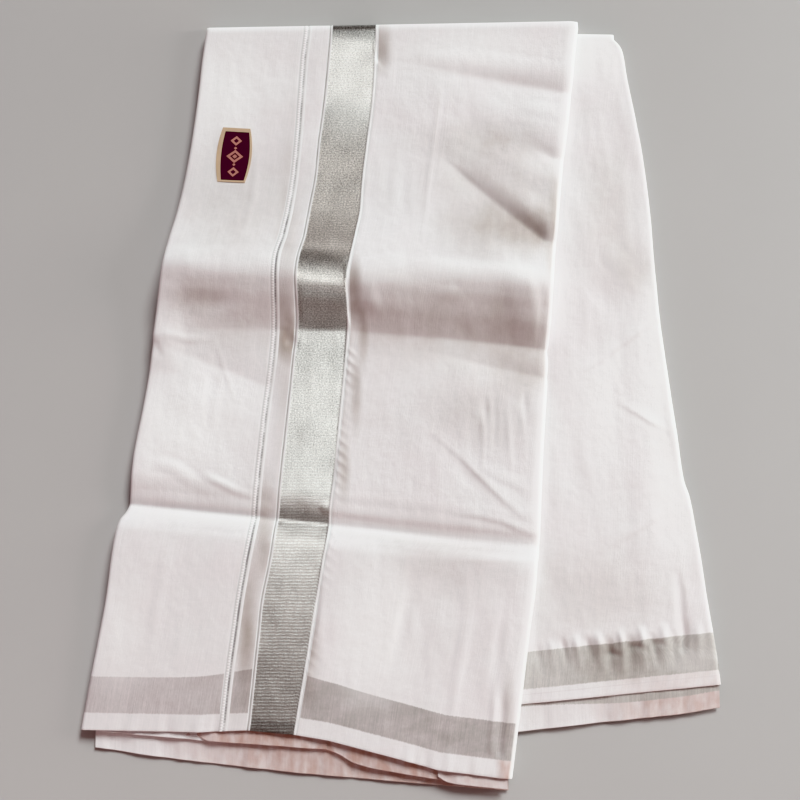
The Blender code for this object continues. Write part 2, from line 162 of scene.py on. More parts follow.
# How far side borders drop past their widest place, and how clear of the rear leaf the
# front leaf's right-hand fold stays
LEFT_LOWER = 1.2
HEM_LOWER = 1.6
REAR_LOWER = 1.0
LEAST_LOWER = 0.3
REAR_CLEARANCE = 0.15

# Folds placed one by one: a line of points, the height of its crest at each point (a trough
# where it is negative), how far the fold reaches to the left and right of the line, and
# whether its crest is sharp.
Fold = namedtuple("Fold", "line heights left right sharp", defaults=(False,))
FOLD_SHARPNESS = 1.7
FRONT_FOLDS = (
    # the diagonal fold at the right, pulled from the right-hand edge
    Fold(((38, 197), (50, 187), (64, 174), (84, 155), (104, 138), (130, 117)),
         (0, -1.1, -1.6, -2.4, -3.3, -4.3), 15, 44, sharp=True),
    Fold(((38, 197), (50, 187), (64, 174), (80, 159)), (0, -0.6, -0.6, 0), 4, 16, sharp=True),
    Fold(((66, 184), (84, 170), (108, 152), (132, 131)), (0, 0.5, 1.2, 1.8), 18, 13),
    # the shoulder under the top fold
    Fold(((-14, 293), (20, 290), (60, 285), (104, 277), (146, 269)), (0, 0.6, 1.0, 1.3, 0.9), 16, 14),
    # a second soft fold under it, that ends in a dark nick at the right-hand edge
    Fold(((20, 252), (60, 232), (96, 214), (122, 203), (142, 193)),
         (0, -0.8, -1.4, -1.9, -2.4), 26, 22),
    Fold(((112, 207), (124, 202), (136, 196), (144, 192)), (0, -0.7, -1.6, -1.8), 9, 9, sharp=True),
    Fold(((96, 226), (120, 217), (142, 208)), (0, 0.7, 0.8), 14, 12),
    Fold(((98, 248), (120, 242), (142, 234)), (0, 0.5, 0.2), 10, 9),
    # a pressed pleat line right of the band, seen as a pale line
    Fold(((38, 258), (32, 220), (26, 170), (20, 122)), (0.2, 0.6, 0.7, 0.2), 1.8, 5, sharp=True),
    Fold(((70, 250), (66, 215), (60, 160)), (0, -0.6, 0), 16, 16),
    Fold(((0, 200), (-4, 170), (-8, 130)), (0, 0.5, 0), 8, 8),
    # dents beside the band, just under the top fold and over the ridge
    Fold(((-21, 322), (-21, 306), (-19, 291), (-11, 280)), (-0.4, -1.8, -1.6, 0), 13, 3),
    Fold(((-44, 108), (-43, 92), (-42, 76), (-41, 60), (-39, 46)),
         (0, -1.8, -2.6, -2.2, -0.3), 13, 2.5),
    Fold(((-26, 88), (-22, 70), (-18, 56)), (0, 1.2, 0), 9, 9),
    # the crest of the ridge, uneven along its length
    Fold(((-203, 107), (-180, 106), (-150, 101), (-118, 103)), (0.3, 1.0, -0.3, 0.4), 16, 12),
    Fold(((-104, 98), (-70, 99), (-40, 94), (-5, 93)), (0.2, 0.7, 0.3, 0), 15, 11),
    Fold(((10, 97), (43, 93), (80, 89), (109, 85), (129, 82)),
         (0, 1.5, 1.4, 2.0, 1.0), 14, 14),
    # the ridge's dark flank: full under the crest, and a sharp foot
    Fold(((-196, 90), (-120, 84), (-40, 78), (30, 68), (80, 61), (127, 54)),
         (0.6, 1.0, 1.0, 0.6, 0.3, 0), 20, 18),
    Fold(((-190, 52), (-163, 49), (-108, 48), (-41, 46), (1, 41.5), (43, 38.6), (85, 34), (126, 29)),
         (0, -1.4, -1.8, -2.2, -2.8, -3.6, -4.2, -4.4), 21, 46, sharp=True),
    Fold(((-186, 74), (-160, 70), (-130, 73)), (0, -1.0, 0), 12, 10),
    # its left end, that comes down more gently, and its right end, that rolls off sideways
    Fold(((-206, 98), (-206, 74), (-208, 44), (-211, 12)), (0, 1.6, 4.2, 0), 30, 10),
    Fold(((131, 84), (130, 64), (129, 44), (127, 30)), (0, -2.8, -3.6, -0.8), 8, 17),
    Fold(((104, 88), (110, 68), (116, 48), (123, 28)), (0.6, 2.8, 2.8, 0.6), 14, 26),
    # the long bends under it
    Fold(((-204, 36), (-163, 20), (-112, 0), (-96, 8)), (-0.8, -1.8, -1.9, 0), 34, 36, sharp=True),
    Fold(((10, 30), (43, 24), (85, 13), (124, 5)), (0, -0.9, -1.8, -2.9), 18, 34, sharp=True),
    Fold(((-97, 48), (-92, 38), (-86, 28)), (0, -1.8, 0), 7, 6),
    Fold(((72, -10), (72, -22), (71, -34)), (0, -1.1, 0), 4, 7),
    Fold(((105, -6), (105, -18), (104, -30)), (0, -1.0, 0), 4, 7),
    Fold(((20, 66), (44, 74), (60, 60)), (0, 0.8, 0), 9, 9),
    # the pressed valley and the lip that stands over it
    Fold(((-228, -94), (-190, -97), (-150, -101), (-112, -104)), (0.2, 0.8, 0.5, 0.9), 9, 6),
    Fold(((-60, -104), (-25, -109), (20, -114), (62, -118), (112, -124)),
         (0.6, 0.9, 0.5, 0.8, 0.2), 9, 5),
    Fold(((-230, -106), (-180, -110), (-132, -114), (-98, -118)), (0, 0.7, 0.9, 0.3), 5, 10),
    Fold(((-56, -121), (-10, -126), (34, -132), (79, -137)), (0.4, 0.9, 0.7, 0), 5, 10),
    # folds that run into the valley from above, at the right
    Fold(((18, -33), (46, -57), (67, -78), (83, -94), (101, -110)),
         (0, 0.5, 0.8, 0.9, 0.3), 14, 3.5, sharp=True),
    Fold(((36, -52), (60, -80), (80, -100)), (0, -0.5, 0), 8, 10),
    Fold(((40, -107), (62, -109), (85, -114), (112, -126)), (0, 1.0, 1.2, 0.5), 12, 3.5, sharp=True),
    Fold(((64, -66), (86, -80), (110, -90)), (0, 0.5, 0.1), 10, 5),
    Fold(((24, -142), (60, -145), (104, -146)), (0, 0.6, 0.2), 8, 4, sharp=True),
    # soft ridges left of the woven line
    Fold(((-166, -73), (-152, -80), (-138, -87), (-121, -93)), (0, 0.8, 0.8, 0.3), 5, 5),
    Fold(((-212, -62), (-186, -70), (-160, -88)), (0, 0.8, 0.2), 8, 8),
    Fold(((-159, 48), (-147, 14), (-138, -12)), (0, 0.5, 0.2), 2, 4, sharp=True),
    Fold(((-208, 37), (-203, 27)), (-1.1, -0.6), 5, 5),
    Fold(((-196, 44), (-180, 40), (-158, 40)), (0.3, 0.8, 0), 5, 5),
    # long pressed lines along the strip
    Fold(((-120, 240), (-126, 160), (-134, 120)), (0, 0.5, 0), 5, 5),
    Fold(((-150, 60), (-158, 0), (-166, -60)), (0, -0.5, 0), 8, 8),
    Fold(((-190, -130), (-196, -180), (-204, -232)), (0, 0.6, 0), 8, 8),
    Fold(((68, -5), (70, -40), (69, -80)), (0, 0.7, 0), 3, 3),
    Fold(((79, 2), (80, -30), (78, -66)), (0, -0.6, 0), 3.5, 3.5),
    Fold(((90, -8), (91, -44), (93, -76)), (0, 0.6, 0), 3, 4),
    Fold(((101, 4), (102, -30), (104, -60)), (0, 0.5, 0), 3.5, 3),
    Fold(((60, -165), (50, -220), (40, -280)), (0, 0.8, 0.3), 7, 7),
    Fold(((14, -150), (2, -200), (-8, -240)), (0, -0.8, 0), 9, 7),
    Fold(((86, -170), (80, -215), (74, -262)), (0, -0.9, 0.3), 6, 6),
    # beside the band, where its stiff edge draws the cloth
    Fold(((-50, -36), (-54, -70), (-57, -98)), (0.2, -0.9, 0), 3, 5),
    Fold(((-62, -150), (-66, -185), (-74, -235)), (0.3, -1.2, 0.2), 3, 6),
    Fold(((-48, 20), (-44, 60), (-43, 92)), (0, -1, 0.3), 6, 3),
    Fold(((-88, 30), (-86, 62), (-86, 90)), (0, -0.9, 0.3), 3, 5),
    # puckers at the hem
    Fold(((77, -236), (76, -262), (73, -294)), (0, 1.0, 1.2), 3, 3.5),
    Fold(((83, -240), (83, -262), (80, -296)), (0, -1.0, -1.4), 4, 4),
    Fold(((8, -292), (7, -305)), (0.3, 1.0), 5, 6),
    Fold(((22, -297), (21, -310)), (-0.3, -0.9), 5, 5),
    Fold(((40, -298), (38, -314)), (0.3, 0.9), 6, 6),
    Fold(((56, -300), (55, -316)), (-0.2, -0.8), 6, 5),
    Fold(((-214, -262), (-216, -282)), (0.2, 0.8), 8, 7),
    Fold(((-186, -264), (-187, -283)), (-0.2, -0.9), 8, 7),
    Fold(((-160, -262), (-162, -282)), (0.2, 0.7), 6, 7),
    Fold(((-146, -268), (-148, -284)), (-0.4, -1.5), 4, 5),
)

# Small slanting puckers beside the band, where its stiff edge draws the cloth
PUCKER_TOP = 30.0
PUCKER_END = -235.0
PUCKER_SPACING = 8.5
PUCKER_RUN = (8.0, -7.0)
PUCKER_REACH = 2.2
PUCKER_HEIGHT = 1.05
PUCKER_SWING = 0.45
PUCKER_WAVE = 13.0
LOWER_PUCKER_SHARE = 0.4
VALLEY_Y = -113.0

REAR_FOLDS = (
    Fold(((170, 128), (184, 106), (206, 70)), (0, 0.7, 0), 14, 12),
    Fold(((158, 96), (176, 76), (194, 50)), (0, -0.7, 0), 14, 14),
    Fold(((152, 10), (169, 20), (186, 33), (203, 45), (220, 58)),
         (0, 0.6, 0.8, 0.8, 0.3), 12, 3, sharp=True),
    Fold(((180, -13), (194, -22), (208, -31), (223, -40)), (0, 0.6, 0.7, 0.1), 10, 3, sharp=True),
    Fold(((170, -135), (190, -123), (216, -107)), (0, 0.7, 0.1), 12, 4),
    Fold(((236, -78), (241, -98)), (-1.8, -1.2), 5, 6),
    Fold(((176, 262), (188, 220), (196, 180)), (0, -0.7, 0), 14, 12),
    Fold(((150, 180), (158, 140), (160, 100)), (0, 0.7, 0), 12, 12),
    Fold(((140, -30), (146, -80), (150, -120)), (0, -0.7, 0), 12, 14),
    Fold(((220, 20), (228, -40), (234, -80)), (0, 0.7, 0), 10, 7),
    Fold(((226, -150), (229, -176), (229, -214)), (0, -1.0, -1.4), 4, 7),
    # gathers where the hem is drawn together
    Fold(((112, -212), (113, -222), (114, -236)), (0, -1.2, 0), 4, 5),
    Fold(((122, -208), (123, -216), (125, -238)), (0, 1.2, 0), 5, 4),
    Fold(((131, -206), (133, -214), (136, -232)), (0, -1.8, 0), 4, 4),
    Fold(((142, -204), (143, -212), (146, -236)), (0, 1.9, 0), 5, 4),
    Fold(((151, -205), (153, -213), (156, -228)), (0, -2.0, 0), 4, 4),
    Fold(((159, -202), (161, -210), (163, -236)), (0, 2.0, 0), 5, 4),
    Fold(((169, -206), (170, -217), (171, -240)), (0, -3.0, 0), 5, 5),
    Fold(((178, -200), (179, -208), (180, -240)), (0, 2.2, 0), 4, 3),
    Fold(((187, -204), (187, -215), (186, -236)), (0, -3.0, 0), 5, 6),
    Fold(((195, -197), (196, -206), (197, -236)), (0, 2.2, 0), 4, 4),
    Fold(((203, -202), (206, -214), (208, -230)), (0, -2.6, 0), 4, 4),
    Fold(((213, -194), (214, -205), (214, -232)), (0, 1.6, 0), 5, 5),
    Fold(((222, -200), (222, -211), (221, -230)), (0, -1.6, 0), 4, 4),
    Fold(((232, -190), (231, -203), (229, -222)), (0, -1.6, 0), 4, 4),
    Fold(((241, -192), (241, -206), (240, -228)), (0, 1.3, 0), 5, 5),
    Fold(((160, -221), (172, -219), (182, -222)), (0, -1.6, 0), 3, 5),
    Fold(((182, -216), (192, -213), (202, -217)), (0, -1.8, 0), 3, 5),
    Fold(((202, -212), (210, -211), (218, -214)), (0, -1.4, 0), 3, 4),
)

# Painted shade: soft darker places where the cloth lies in shade, and painted light: paler
# places where the share is negative. Each is an ellipse round x, y.
PaintedShading = namedtuple("PaintedShading", "x y half_x half_y share")
FRONT_PAINTED_SHADING = (
    # painted shade under the folds at the right
    PaintedShading(88, 170, 92, 60, 0.34),
    PaintedShading(70, 214, 76, 28, 0.34),
    PaintedShading(134, 148, 9, 44, 0.50),
    PaintedShading(118, 134, 26, 24, 0.30),
    PaintedShading(130, 100, 9, 28, 0.50),
    # painted shade along the stiff edge of the band
    PaintedShading(-30, 40, 6, 36, 0.55),
    PaintedShading(-36, -8, 7, 44, 0.60),
    PaintedShading(-45, -72, 7, 40, 0.45),
    # painted shade on the ridge's flank
    PaintedShading(40, 54, 170, 60, 0.42),
    PaintedShading(92, 46, 52, 40, 0.20),
    PaintedShading(96, 130, 84, 36, 0.52),
    PaintedShading(110, 14, 44, 34, 0.40),
    PaintedShading(-37, 82, 9, 40, 0.60),
    PaintedShading(-15, 300, 13, 32, 0.7),
    PaintedShading(-130, 56, 90, 50, 0.24),
    PaintedShading(-170, 76, 32, 20, 0.34),
    PaintedShading(-92, 38, 19, 26, 0.70),
    # painted shade beside the band and the woven line
    PaintedShading(-94, 60, 15, 270, 0.30),
    PaintedShading(-111, -120, 13, 70, 0.65),
    PaintedShading(-123, -200, 13, 80, 0.75),
    PaintedShading(-76, -214, 17, 66, 0.70),
    PaintedShading(-128, -264, 26, 40, 0.10),
    PaintedShading(-48, 20, 12, 150, 0.26),
    # broad soft painted shade
    PaintedShading(-140, 158, 90, 80, 0.24),
    PaintedShading(70, -20, 70, 50, 0.24),
    PaintedShading(30, -150, 90, 50, 0.20),
    PaintedShading(87, -264, 8, 50, 0.34),
    # painted light: paler cloth
    PaintedShading(-160, 262, 80, 80, -0.9),
    PaintedShading(-180, -34, 80, 70, -1.0),
    PaintedShading(-20, -200, 50, 80, -0.9),
    PaintedShading(-226, -200, 40, 70, -0.6),
    PaintedShading(60, 296, 110, 30, -0.6),
)
# Painted shade on the rear leaf, and painted light where the share is negative
REAR_PAINTED_SHADING = (
    PaintedShading(222, -20, 34, 210, -1.0),
    PaintedShading(160, 300, 70, 50, -0.9),
    PaintedShading(168, -20, 40, 90, -0.6),
    PaintedShading(180, 150, 34, 100, 0.24),
    PaintedShading(204, 100, 26, 34, 0.34),
    PaintedShading(160, -170, 90, 50, 0.22),
    PaintedShading(176, -222, 38, 26, 0.42),
    PaintedShading(240, -225, 28, 44, -0.22),
)
# The painted highlight on the front leaf's right-hand roll: the paler share that it has besides
ROLL_PAINTED_HIGHLIGHT = 1.1

# The hems of the lower thicknesses: their edge line, the heights of the sheet inside and
# at its edge, and which cotton it has.
HemLayer = namedtuple("HemLayer", "name node edge z_start z_edge tone")
HEM_LAYERS = (
    HemLayer("front_hem_layer_1", "front_middle_hem",
             ((-245, -281.5), (-220, -283.6), (-194, -285.6), (-168, -287.6), (-157, -289.0)),
             8.3, 7.6, "pale"),
    HemLayer("front_hem_layer_2", "front_middle_hem",
             ((-163, -283.0), (-158, -288.4), (-136, -290.0), (-112, -291.2), (-90, -292.7), (-68, -294.3),
              (-58, -294.6)),
             9.8, 8.2, "warm"),
    HemLayer("front_hem_layer_3", "front_middle_hem",
             ((-74, -290.5), (-60, -294.8), (-51, -296.5), (-38, -304.6), (-23, -308.8), (5, -313.3),
              (30, -317.0), (36, -317.2)),
             9.8, 7.8, "warm"),
    HemLayer("front_hem_layer_4", "front_middle_hem",
             ((31, -313.0), (36, -319.0), (58, -321.4), (86, -324.0)),
             10.6, 9.6, "pale"),
    HemLayer("front_hem_layer_5", "front_middle_hem",
             ((-242, -279.5), (-190, -283.5), (-120, -288.5), (-70, -292.0), (-40, -301.0),
              (20, -311.5), (86, -320.0)),
             7.4, 6.6, "warm"),
    HemLayer("front_hem_layer_6", "front_bottom_hem",
             ((-244, -277.5), (-204, -281.5), (-150, -286.0), (-80, -291.0), (-40, -299.5),
              (20, -309.5), (85, -317.5)),
             6.2, 5.4, "plain"),
    HemLayer("front_hem_layer_7", "front_bottom_hem",
             ((-247, -295.0), (-204, -301.0), (-161, -306.0), (-80, -314.0), (0, -320.0),
              (87, -326.0)),
             5.2, 2.8, "plain"),
    HemLayer("front_hem_layer_8", "front_bottom_hem",
             ((-246, -293.0), (-204, -299.5), (-161, -304.4), (-80, -312.0), (0, -318.6),
              (86, -324.6)),
             2.6, 1.3, "plain"),
)
REAR_HEM_LAYERS = (
    HemLayer("rear_hem_layer_1", "rear_lower_hem",
             ((94, -281.0), (128, -277.0), (160, -273.4), (192, -270.0), (228, -266.0), (256.5, -261.0)),
             6.2, 4.0, "rear"),
    HemLayer("rear_hem_layer_2", "rear_lower_hem",
             ((94, -278.0), (128, -274.0), (192, -267.2), (228, -263.2), (255, -258.4)),
             3.8, 2.5, "rear"),
    HemLayer("rear_hem_layer_3", "rear_lower_hem",
             ((94, -277.0), (128, -273.4), (192, -266.6), (228, -262.4), (255, -257.8)),
             2.0, 1.1, "rear"),
)
# How far inside the bundle each starts
LAYER_DEPTH = 30.0
REAR_LAYER_DEPTH = 34.0
LAYER_ROWS = 15
LAYER_SPACING = 2.2

# Their rows crowd towards the edge, and the edge line is smoothed over some points. The
# thinnest places ripple less, and none comes nearer to the floor than the lowest.
LAYER_CROWDING = 1.6
EDGE_SMOOTHING = 4
FULL_RIPPLE_LEVEL = 2.5
LOWEST_LAYER = 0.75

# Woven borders, by distance from the hem
BORDER_LOW = 13.6
BORDER_HIGH = 42.6
REAR_BORDER_LOW = 11.4
REAR_BORDER_HIGH = 41.0
REAR_LAYER_BORDER_LOW = 13.2
REAR_LAYER_BORDER_HIGH = 42.0

# How much wider the front border is drawn beside the band, where along X, and its reach
BORDER_SWELL = 0.22
BORDER_SWELL_X = -102.0
BORDER_SWELL_REACH = 46.0

# How much farther from the hem the rear layers' borders lie at the left end
REAR_BORDER_SKEW = 6.0

# The sticker
LABEL_CENTRE = (-143.5, 203.0)
LABEL_HALF_WIDTH = 12.0
LABEL_BULGE = 3.5
LABEL_HALF_HEIGHT = 25.0
LABEL_TURN = math.radians(-4.0)
LABEL_LIFT = 0.55
FIELD_RISE = 0.05
MARK_RISE = 0.09
SKIRT_LIFT = 0.05
LABEL_ORNAMENT_X = 0.8
LABEL_ROWS = 25
LABEL_COLUMNS = 15

# The dark field's shares of the sticker: half width, top, bottom, and shift to the right
LABEL_FIELD = (0.80, 0.86, 0.93, 0.07)

# The sticker's ornament: lozenges by their place along it, half sizes and share of hole
Lozenge = namedtuple("Lozenge", "y half_x half_y hole")
ORNAMENT = (
    Lozenge(13.2, 5.2, 4.6, 0.45),
    Lozenge(6.4, 1.6, 1.4, 0.05),
    Lozenge(-1.2, 7.6, 6.2, 0.55),
    Lozenge(-1.2, 2.4, 2.0, 0.05),
    Lozenge(-8.8, 1.6, 1.4, 0.05),
    Lozenge(-15.6, 5.2, 4.6, 0.45),
)


def smooth_rows(table, v):
    """A table's rows at places between its rows, on a smooth curve through them."""
    rows = np.array([tuple(row) for row in table], float)
    v = np.asarray(v, float)
    last = len(rows) - 1
    i = np.clip(np.floor(v).astype(int), 0, last - 1)
    u = (v - i)[..., None]
    before, start, end, after = (rows[np.clip(i + k, 0, last)] for k in (-1, 0, 1, 2))
    slope_start = (end - before) / 2
    slope_end = (after - start) / 2
    return (start * (2 * u**3 - 3 * u**2 + 1) + slope_start * (u**3 - 2 * u**2 + u)
            + end * (3 * u**2 - 2 * u**3) + slope_end * (u**3 - u**2))


def smooth_step(low, high, value):
    """0 below low, 1 above high, and a soft change between them."""
    u = np.clip((value - low) / (high - low), 0.0, 1.0)
    return u * u * (3 - 2 * u)


def pressed_depth(x, y):
    """How far the solids' own creases press the front leaf down."""
    depth = np.zeros(np.broadcast(x, y).shape)
    for crease in PRESSED_CREASES:
        run = np.array((crease.x1 - crease.x0, crease.y1 - crease.y0), float)
        length = np.hypot(*run)
        along = ((x - crease.x0) * run[0] + (y - crease.y0) * run[1]) / length
        aside = ((y - crease.y0) * run[0] - (x - crease.x0) * run[1]) / length
        flank = np.where(aside > 0, crease.upper, crease.lower)
        slope = np.maximum(0.0, 1 - np.abs(aside) / flank)
        share = np.clip(along / length, 0.0, 1.0)
        beyond = np.maximum(0.0, np.maximum(-along, along - length))
        fade = np.maximum(0.0, 1 - beyond / CREASE_FADE)
        here = crease.depth0 + (crease.depth1 - crease.depth0) * share
        depth = depth + here * slope**CREASE_SHARPNESS * fade
    return depth


def front_surface(across, v):
    """Points of the front leaf's surface in millimetres, without its round borders."""
    across, v = np.broadcast_arrays(across, v)
    row = smooth_rows(FRONT_ROWS, v)
    lifts = np.interp(across, [h.across for h in HEM_LIFTS], [h.lift for h in HEM_LIFTS])
    lifts = lifts * smooth_step(HEM_LIFT_STARTS, HEM_ROW - 1, v)
    x = row[..., 0] + (row[..., 2] - row[..., 0]) * across
    y = row[..., 1] + (row[..., 3] - row[..., 1]) * across + lifts
    left, middle, right = row[..., 4], row[..., 5], row[..., 6]
    bow = 4 * across * (1 - across)
    z = left + (right - left) * across + (middle - (left + right) / 2) * bow
    return np.stack((x, y, z - pressed_depth(x, y)), axis=-1)


def front_edge_x(y):
    """Where the front leaf's right-hand fold lies at a distance along Y."""
    rows = smooth_rows(FRONT_ROWS, np.linspace(0, HEM_ROW, 600))
    return np.interp(-np.asarray(y, float), -rows[:, 3], rows[:, 2])


def rear_surface(aside, v):
    """Points of the rear leaf's surface in millimetres, without its round borders.

    aside is the share of the row's width past the front leaf's fold, and negative under it.
    """
    row = smooth_rows(REAR_ROWS, v)
    x_left = front_edge_x(row[..., 0]) + SEAM
    x_right, y_left, y_right = row[..., 1], row[..., 0], row[..., 2]
    x = x_left + (x_right - x_left) * aside
    y = y_left + (y_right - y_left) * aside
    z = row[..., 3] + (row[..., 4] - row[..., 3]) * aside
    return np.stack((x, y, z), axis=-1)


def rear_level(y):
    """The rear leaf's height beside the front leaf's right-hand fold."""
    upwards = REAR_ROWS[::-1]
    return np.interp(y, [row.y_left for row in upwards], [row.z_left for row in upwards])


def fold_relief(folds, x, y):
    """Height of the listed folds at places on a sheet, in millimetres."""
    total = np.zeros(np.broadcast(x, y).shape)
    for fold in folds:
        points = np.array(fold.line, float)
        runs = np.diff(points, axis=0)
        lengths = np.hypot(runs[:, 0], runs[:, 1])
        starts = np.concatenate(((0.0,), np.cumsum(lengths)))
        nearest = np.full(total.shape, np.inf)
        place = np.zeros(total.shape)
        side = np.zeros(total.shape)
        for k, (run, length) in enumerate(zip(runs, lengths)):
            along = ((x - points[k, 0]) * run[0] + (y - points[k, 1]) * run[1]) / length
            aside = ((x - points[k, 0]) * run[1] - (y - points[k, 1]) * run[0]) / length
            inside = np.clip(along, 0.0, length)
            distance = np.hypot(aside, along - inside)
            closer = distance < nearest
            nearest = np.where(closer, distance, nearest)
            place = np.where(closer, starts[k] + inside, place)
            side = np.where(closer, aside, side)
        reach = np.where(side > 0, fold.right, fold.left)
        out = np.clip(nearest / reach, 0.0, 1.0)
        profile = (1 - out)**FOLD_SHARPNESS if fold.sharp else (1 - out**2)**2
        total = total + profile * np.interp(place, starts, fold.heights)
    return total


def painted_shading_map(painted_shading, x, y):
    """Shares of painted shade and of painted light at places on a sheet, for a UV map."""
    dark = np.zeros(np.broadcast(x, y).shape)
    pale = np.zeros(dark.shape)
    for shaded_spot in painted_shading:
        out = ((x - shaded_spot.x) / shaded_spot.half_x)**2 + ((y - shaded_spot.y) / shaded_spot.half_y)**2
        share = np.clip(1 - out, 0.0, 1.0)**2 * shaded_spot.share
        dark += np.maximum(share, 0.0)
        pale += np.maximum(-share, 0.0)
    return np.minimum(dark, 1.0), np.minimum(pale, 1.0)


def band_puckers():
    """Folds along the band's right-hand edge."""
    upwards = BAND_ROWS[::-1]
    folds = []
    for y in np.arange(PUCKER_TOP, PUCKER_END, -PUCKER_SPACING):
        x = np.interp(y, [row.y for row in upwards], [row.right for row in upwards]) + RIGHT_PIPING
        height = PUCKER_HEIGHT * (1 - PUCKER_SWING + PUCKER_SWING * math.sin(y / PUCKER_WAVE))
        if y < VALLEY_Y:
            height *= LOWER_PUCKER_SHARE
        folds.append(Fold(((x, y), (x + PUCKER_RUN[0], y + PUCKER_RUN[1])), (height, 0),
                          PUCKER_REACH, PUCKER_REACH))
    return tuple(folds)


NOISE_LATTICE = 64
NOISE_SHIFT = (31.3, 27.7)


def soft_noise(x, y, size_x, size_y, seed):
    """Smooth hills and hollows from -1 to 1, the same each run."""
    lattice = np.random.default_rng(seed).uniform(-1, 1, (NOISE_LATTICE, NOISE_LATTICE))
    u, v = x / size_x + NOISE_SHIFT[0], y / size_y + NOISE_SHIFT[1]
    i, j = np.floor(u).astype(int), np.floor(v).astype(int)
    fu, fv = u - i, v - j
    fu, fv = (f * f * f * (f * (f * 6 - 15) + 10) for f in (fu, fv))
    corner = [[lattice[(i + a) % NOISE_LATTICE, (j + b) % NOISE_LATTICE] for b in (0, 1)]
              for a in (0, 1)]
    low = corner[0][0] * (1 - fu) + corner[1][0] * fu
    high = corner[0][1] * (1 - fu) + corner[1][1] * fu
    return low * (1 - fv) + high * fv


# The unevenness of a sheet: heights, and the size of the waves along X and Y
Swell = namedtuple("Swell", "height size_x size_y")
SWELLS = (Swell(0.80, 55, 62), Swell(0.38, 21, 25), Swell(0.13, 7, 30), Swell(0.06, 6, 7))


def undulation(x, y, seed):
    """The soft unevenness of pressed cotton."""
    return sum(swell.height * soft_noise(x, y, swell.size_x, swell.size_y, seed + k)
               for k, swell in enumerate(SWELLS))


# Meshes


def nose_drop(angle, upper, lower):
    """How far a round border has dropped at an angle past the top."""
    past = np.maximum(0.0, -np.cos(angle))
    return upper * (1 - np.maximum(0.0, np.cos(angle))) + lower * past


def turned_sheet(points, top, left, right, left_lower, right_lower, base):
    """A grid of surface points with its top and side borders turned down.

    left_lower and right_lower are how far each row's side border drops past its widest
    place, and base is the level that the top border comes down to.
    """
    angles = np.linspace(0, NOSE_END, NOSE_STEPS + 1)[1:]
    rows = [(points[0], left_lower[0], right_lower[0], t) for t in angles[::-1]]
    rows += [(p, a, b, 0.0) for p, a, b in zip(points, left_lower, right_lower)]
    grid = []
    for line, lower_left, lower_right, turn in rows:
        outward = line[-1] - line[0]
        outward = outward / np.hypot(outward[0], outward[1])
        outward[2] = 0.0
        upward = np.array((0.0, 0.0, math.cos(turn)))
        made = list(line.copy())
        if left:
            made = [line[0] - outward * left.reach * math.sin(a)
                    - upward * nose_drop(a, left.upper, lower_left) for a in angles[::-1]] + made
        made += [line[-1] + outward * right.reach * math.sin(a)
                 - upward * nose_drop(a, right.upper, lower_right) for a in angles]
        made = np.array(made)
        if turn:
            floor_drop = np.maximum(0.0, np.mean(line[:, 2]) - top.upper - base)
            made[:, 1] += top.reach * math.sin(turn)
            made[:, 2] -= nose_drop(turn, top.upper, floor_drop)
        grid.append(made)
    return np.array(grid)


# The selvedge's thickness: steps out past the hem line and down
SELVEDGE = ((0.25, -0.10), (0.38, -0.34), (0.26, -0.60), (-1.6, -0.66))


def hem_turn(grid):
    """Adds the thickness of the selvedge to a grid's last row."""
    run = grid[-1] - grid[-2]
    run[:, 2] = 0.0
    run = run / np.linalg.norm(run, axis=1)[:, None]
    rows = [grid[-1] + run * out + np.array((0, 0, down)) for out, down in SELVEDGE]
    return np.concatenate((grid, np.array(rows)))


def hem_distance(along):
    """Distances from the hem line, negative on the selvedge's thickness."""
    hem = len(along) - 1 - len(SELVEDGE)
    return along[hem] - along


def lengths_along(grid, axis):
    """Distance along a grid's rows or columns from its first point, in millimetres."""
    steps = np.linalg.norm(np.diff(grid, axis=axis), axis=-1)
    first = np.zeros_like(np.take(steps, [0], axis=axis))
    return np.cumsum(np.concatenate((first, steps), axis=axis), axis=axis)


def put_in_scene(name, data):
    """A new object in the scene."""
    made = bpy.data.objects.new(name, data)
    bpy.context.scene.collection.objects.link(made)
    return made


def sheet_object(name, grid, maps, materials, column_material=None):
    """A mesh over a grid of points in millimetres, with UV maps in metres.

    maps gives each UV map's two coordinates at each point. column_material gives the
    material number of each column of faces.
    """
    rows, columns = grid.shape[:2]
    index = np.arange(rows * columns).reshape(rows, columns)
    faces = np.stack((index[:-1, :-1], index[1:, :-1], index[1:, 1:], index[:-1, 1:]), axis=-1)
    mesh = bpy.data.meshes.new(name)
    mesh.from_pydata((grid.reshape(-1, 3) * MM).tolist(), [], faces.reshape(-1, 4).tolist())
    corners = np.empty(len(mesh.loops), int)
    mesh.loops.foreach_get("vertex_index", corners)
    for map_name, (u, v) in maps.items():
        layer = mesh.uv_layers.new(name=map_name)
        flat = np.stack((u.reshape(-1), v.reshape(-1)), axis=-1) * MM
        layer.data.foreach_set("uv", flat[corners].reshape(-1))
    for finish in materials:
        mesh.materials.append(finish)
    if column_material is not None:
        numbers = np.tile(np.array(column_material, int), rows - 1)
        mesh.polygons.foreach_set("material_index", numbers)
    mesh.shade_smooth()
    return put_in_scene(name, mesh)


def join_up(piece, node):
    """Makes a piece part of the object: attaches it to the root, and hides the solid that it stands for.
    """
    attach(piece, "root")
    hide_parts(node)
    return piece


# Materials


class Value:
    """A number in a material's nodes, so that sums are written as sums."""

    def __init__(self, nodes, socket):
        self.nodes = nodes
        self.socket = socket

    def __add__(self, other):
        return self.nodes.math("ADD", self, other)

    def __sub__(self, other):
        return self.nodes.math("SUBTRACT", self, other)

    def __rsub__(self, other):
        return self.nodes.math("SUBTRACT", other, self)

    def __mul__(self, other):
        return self.nodes.math("MULTIPLY", self, other)

    __radd__ = __add__

    def clamped(self):
        """The value, kept from 0 to 1."""
        return self.nodes.math("ADD", self, 0.0, clamp=True)


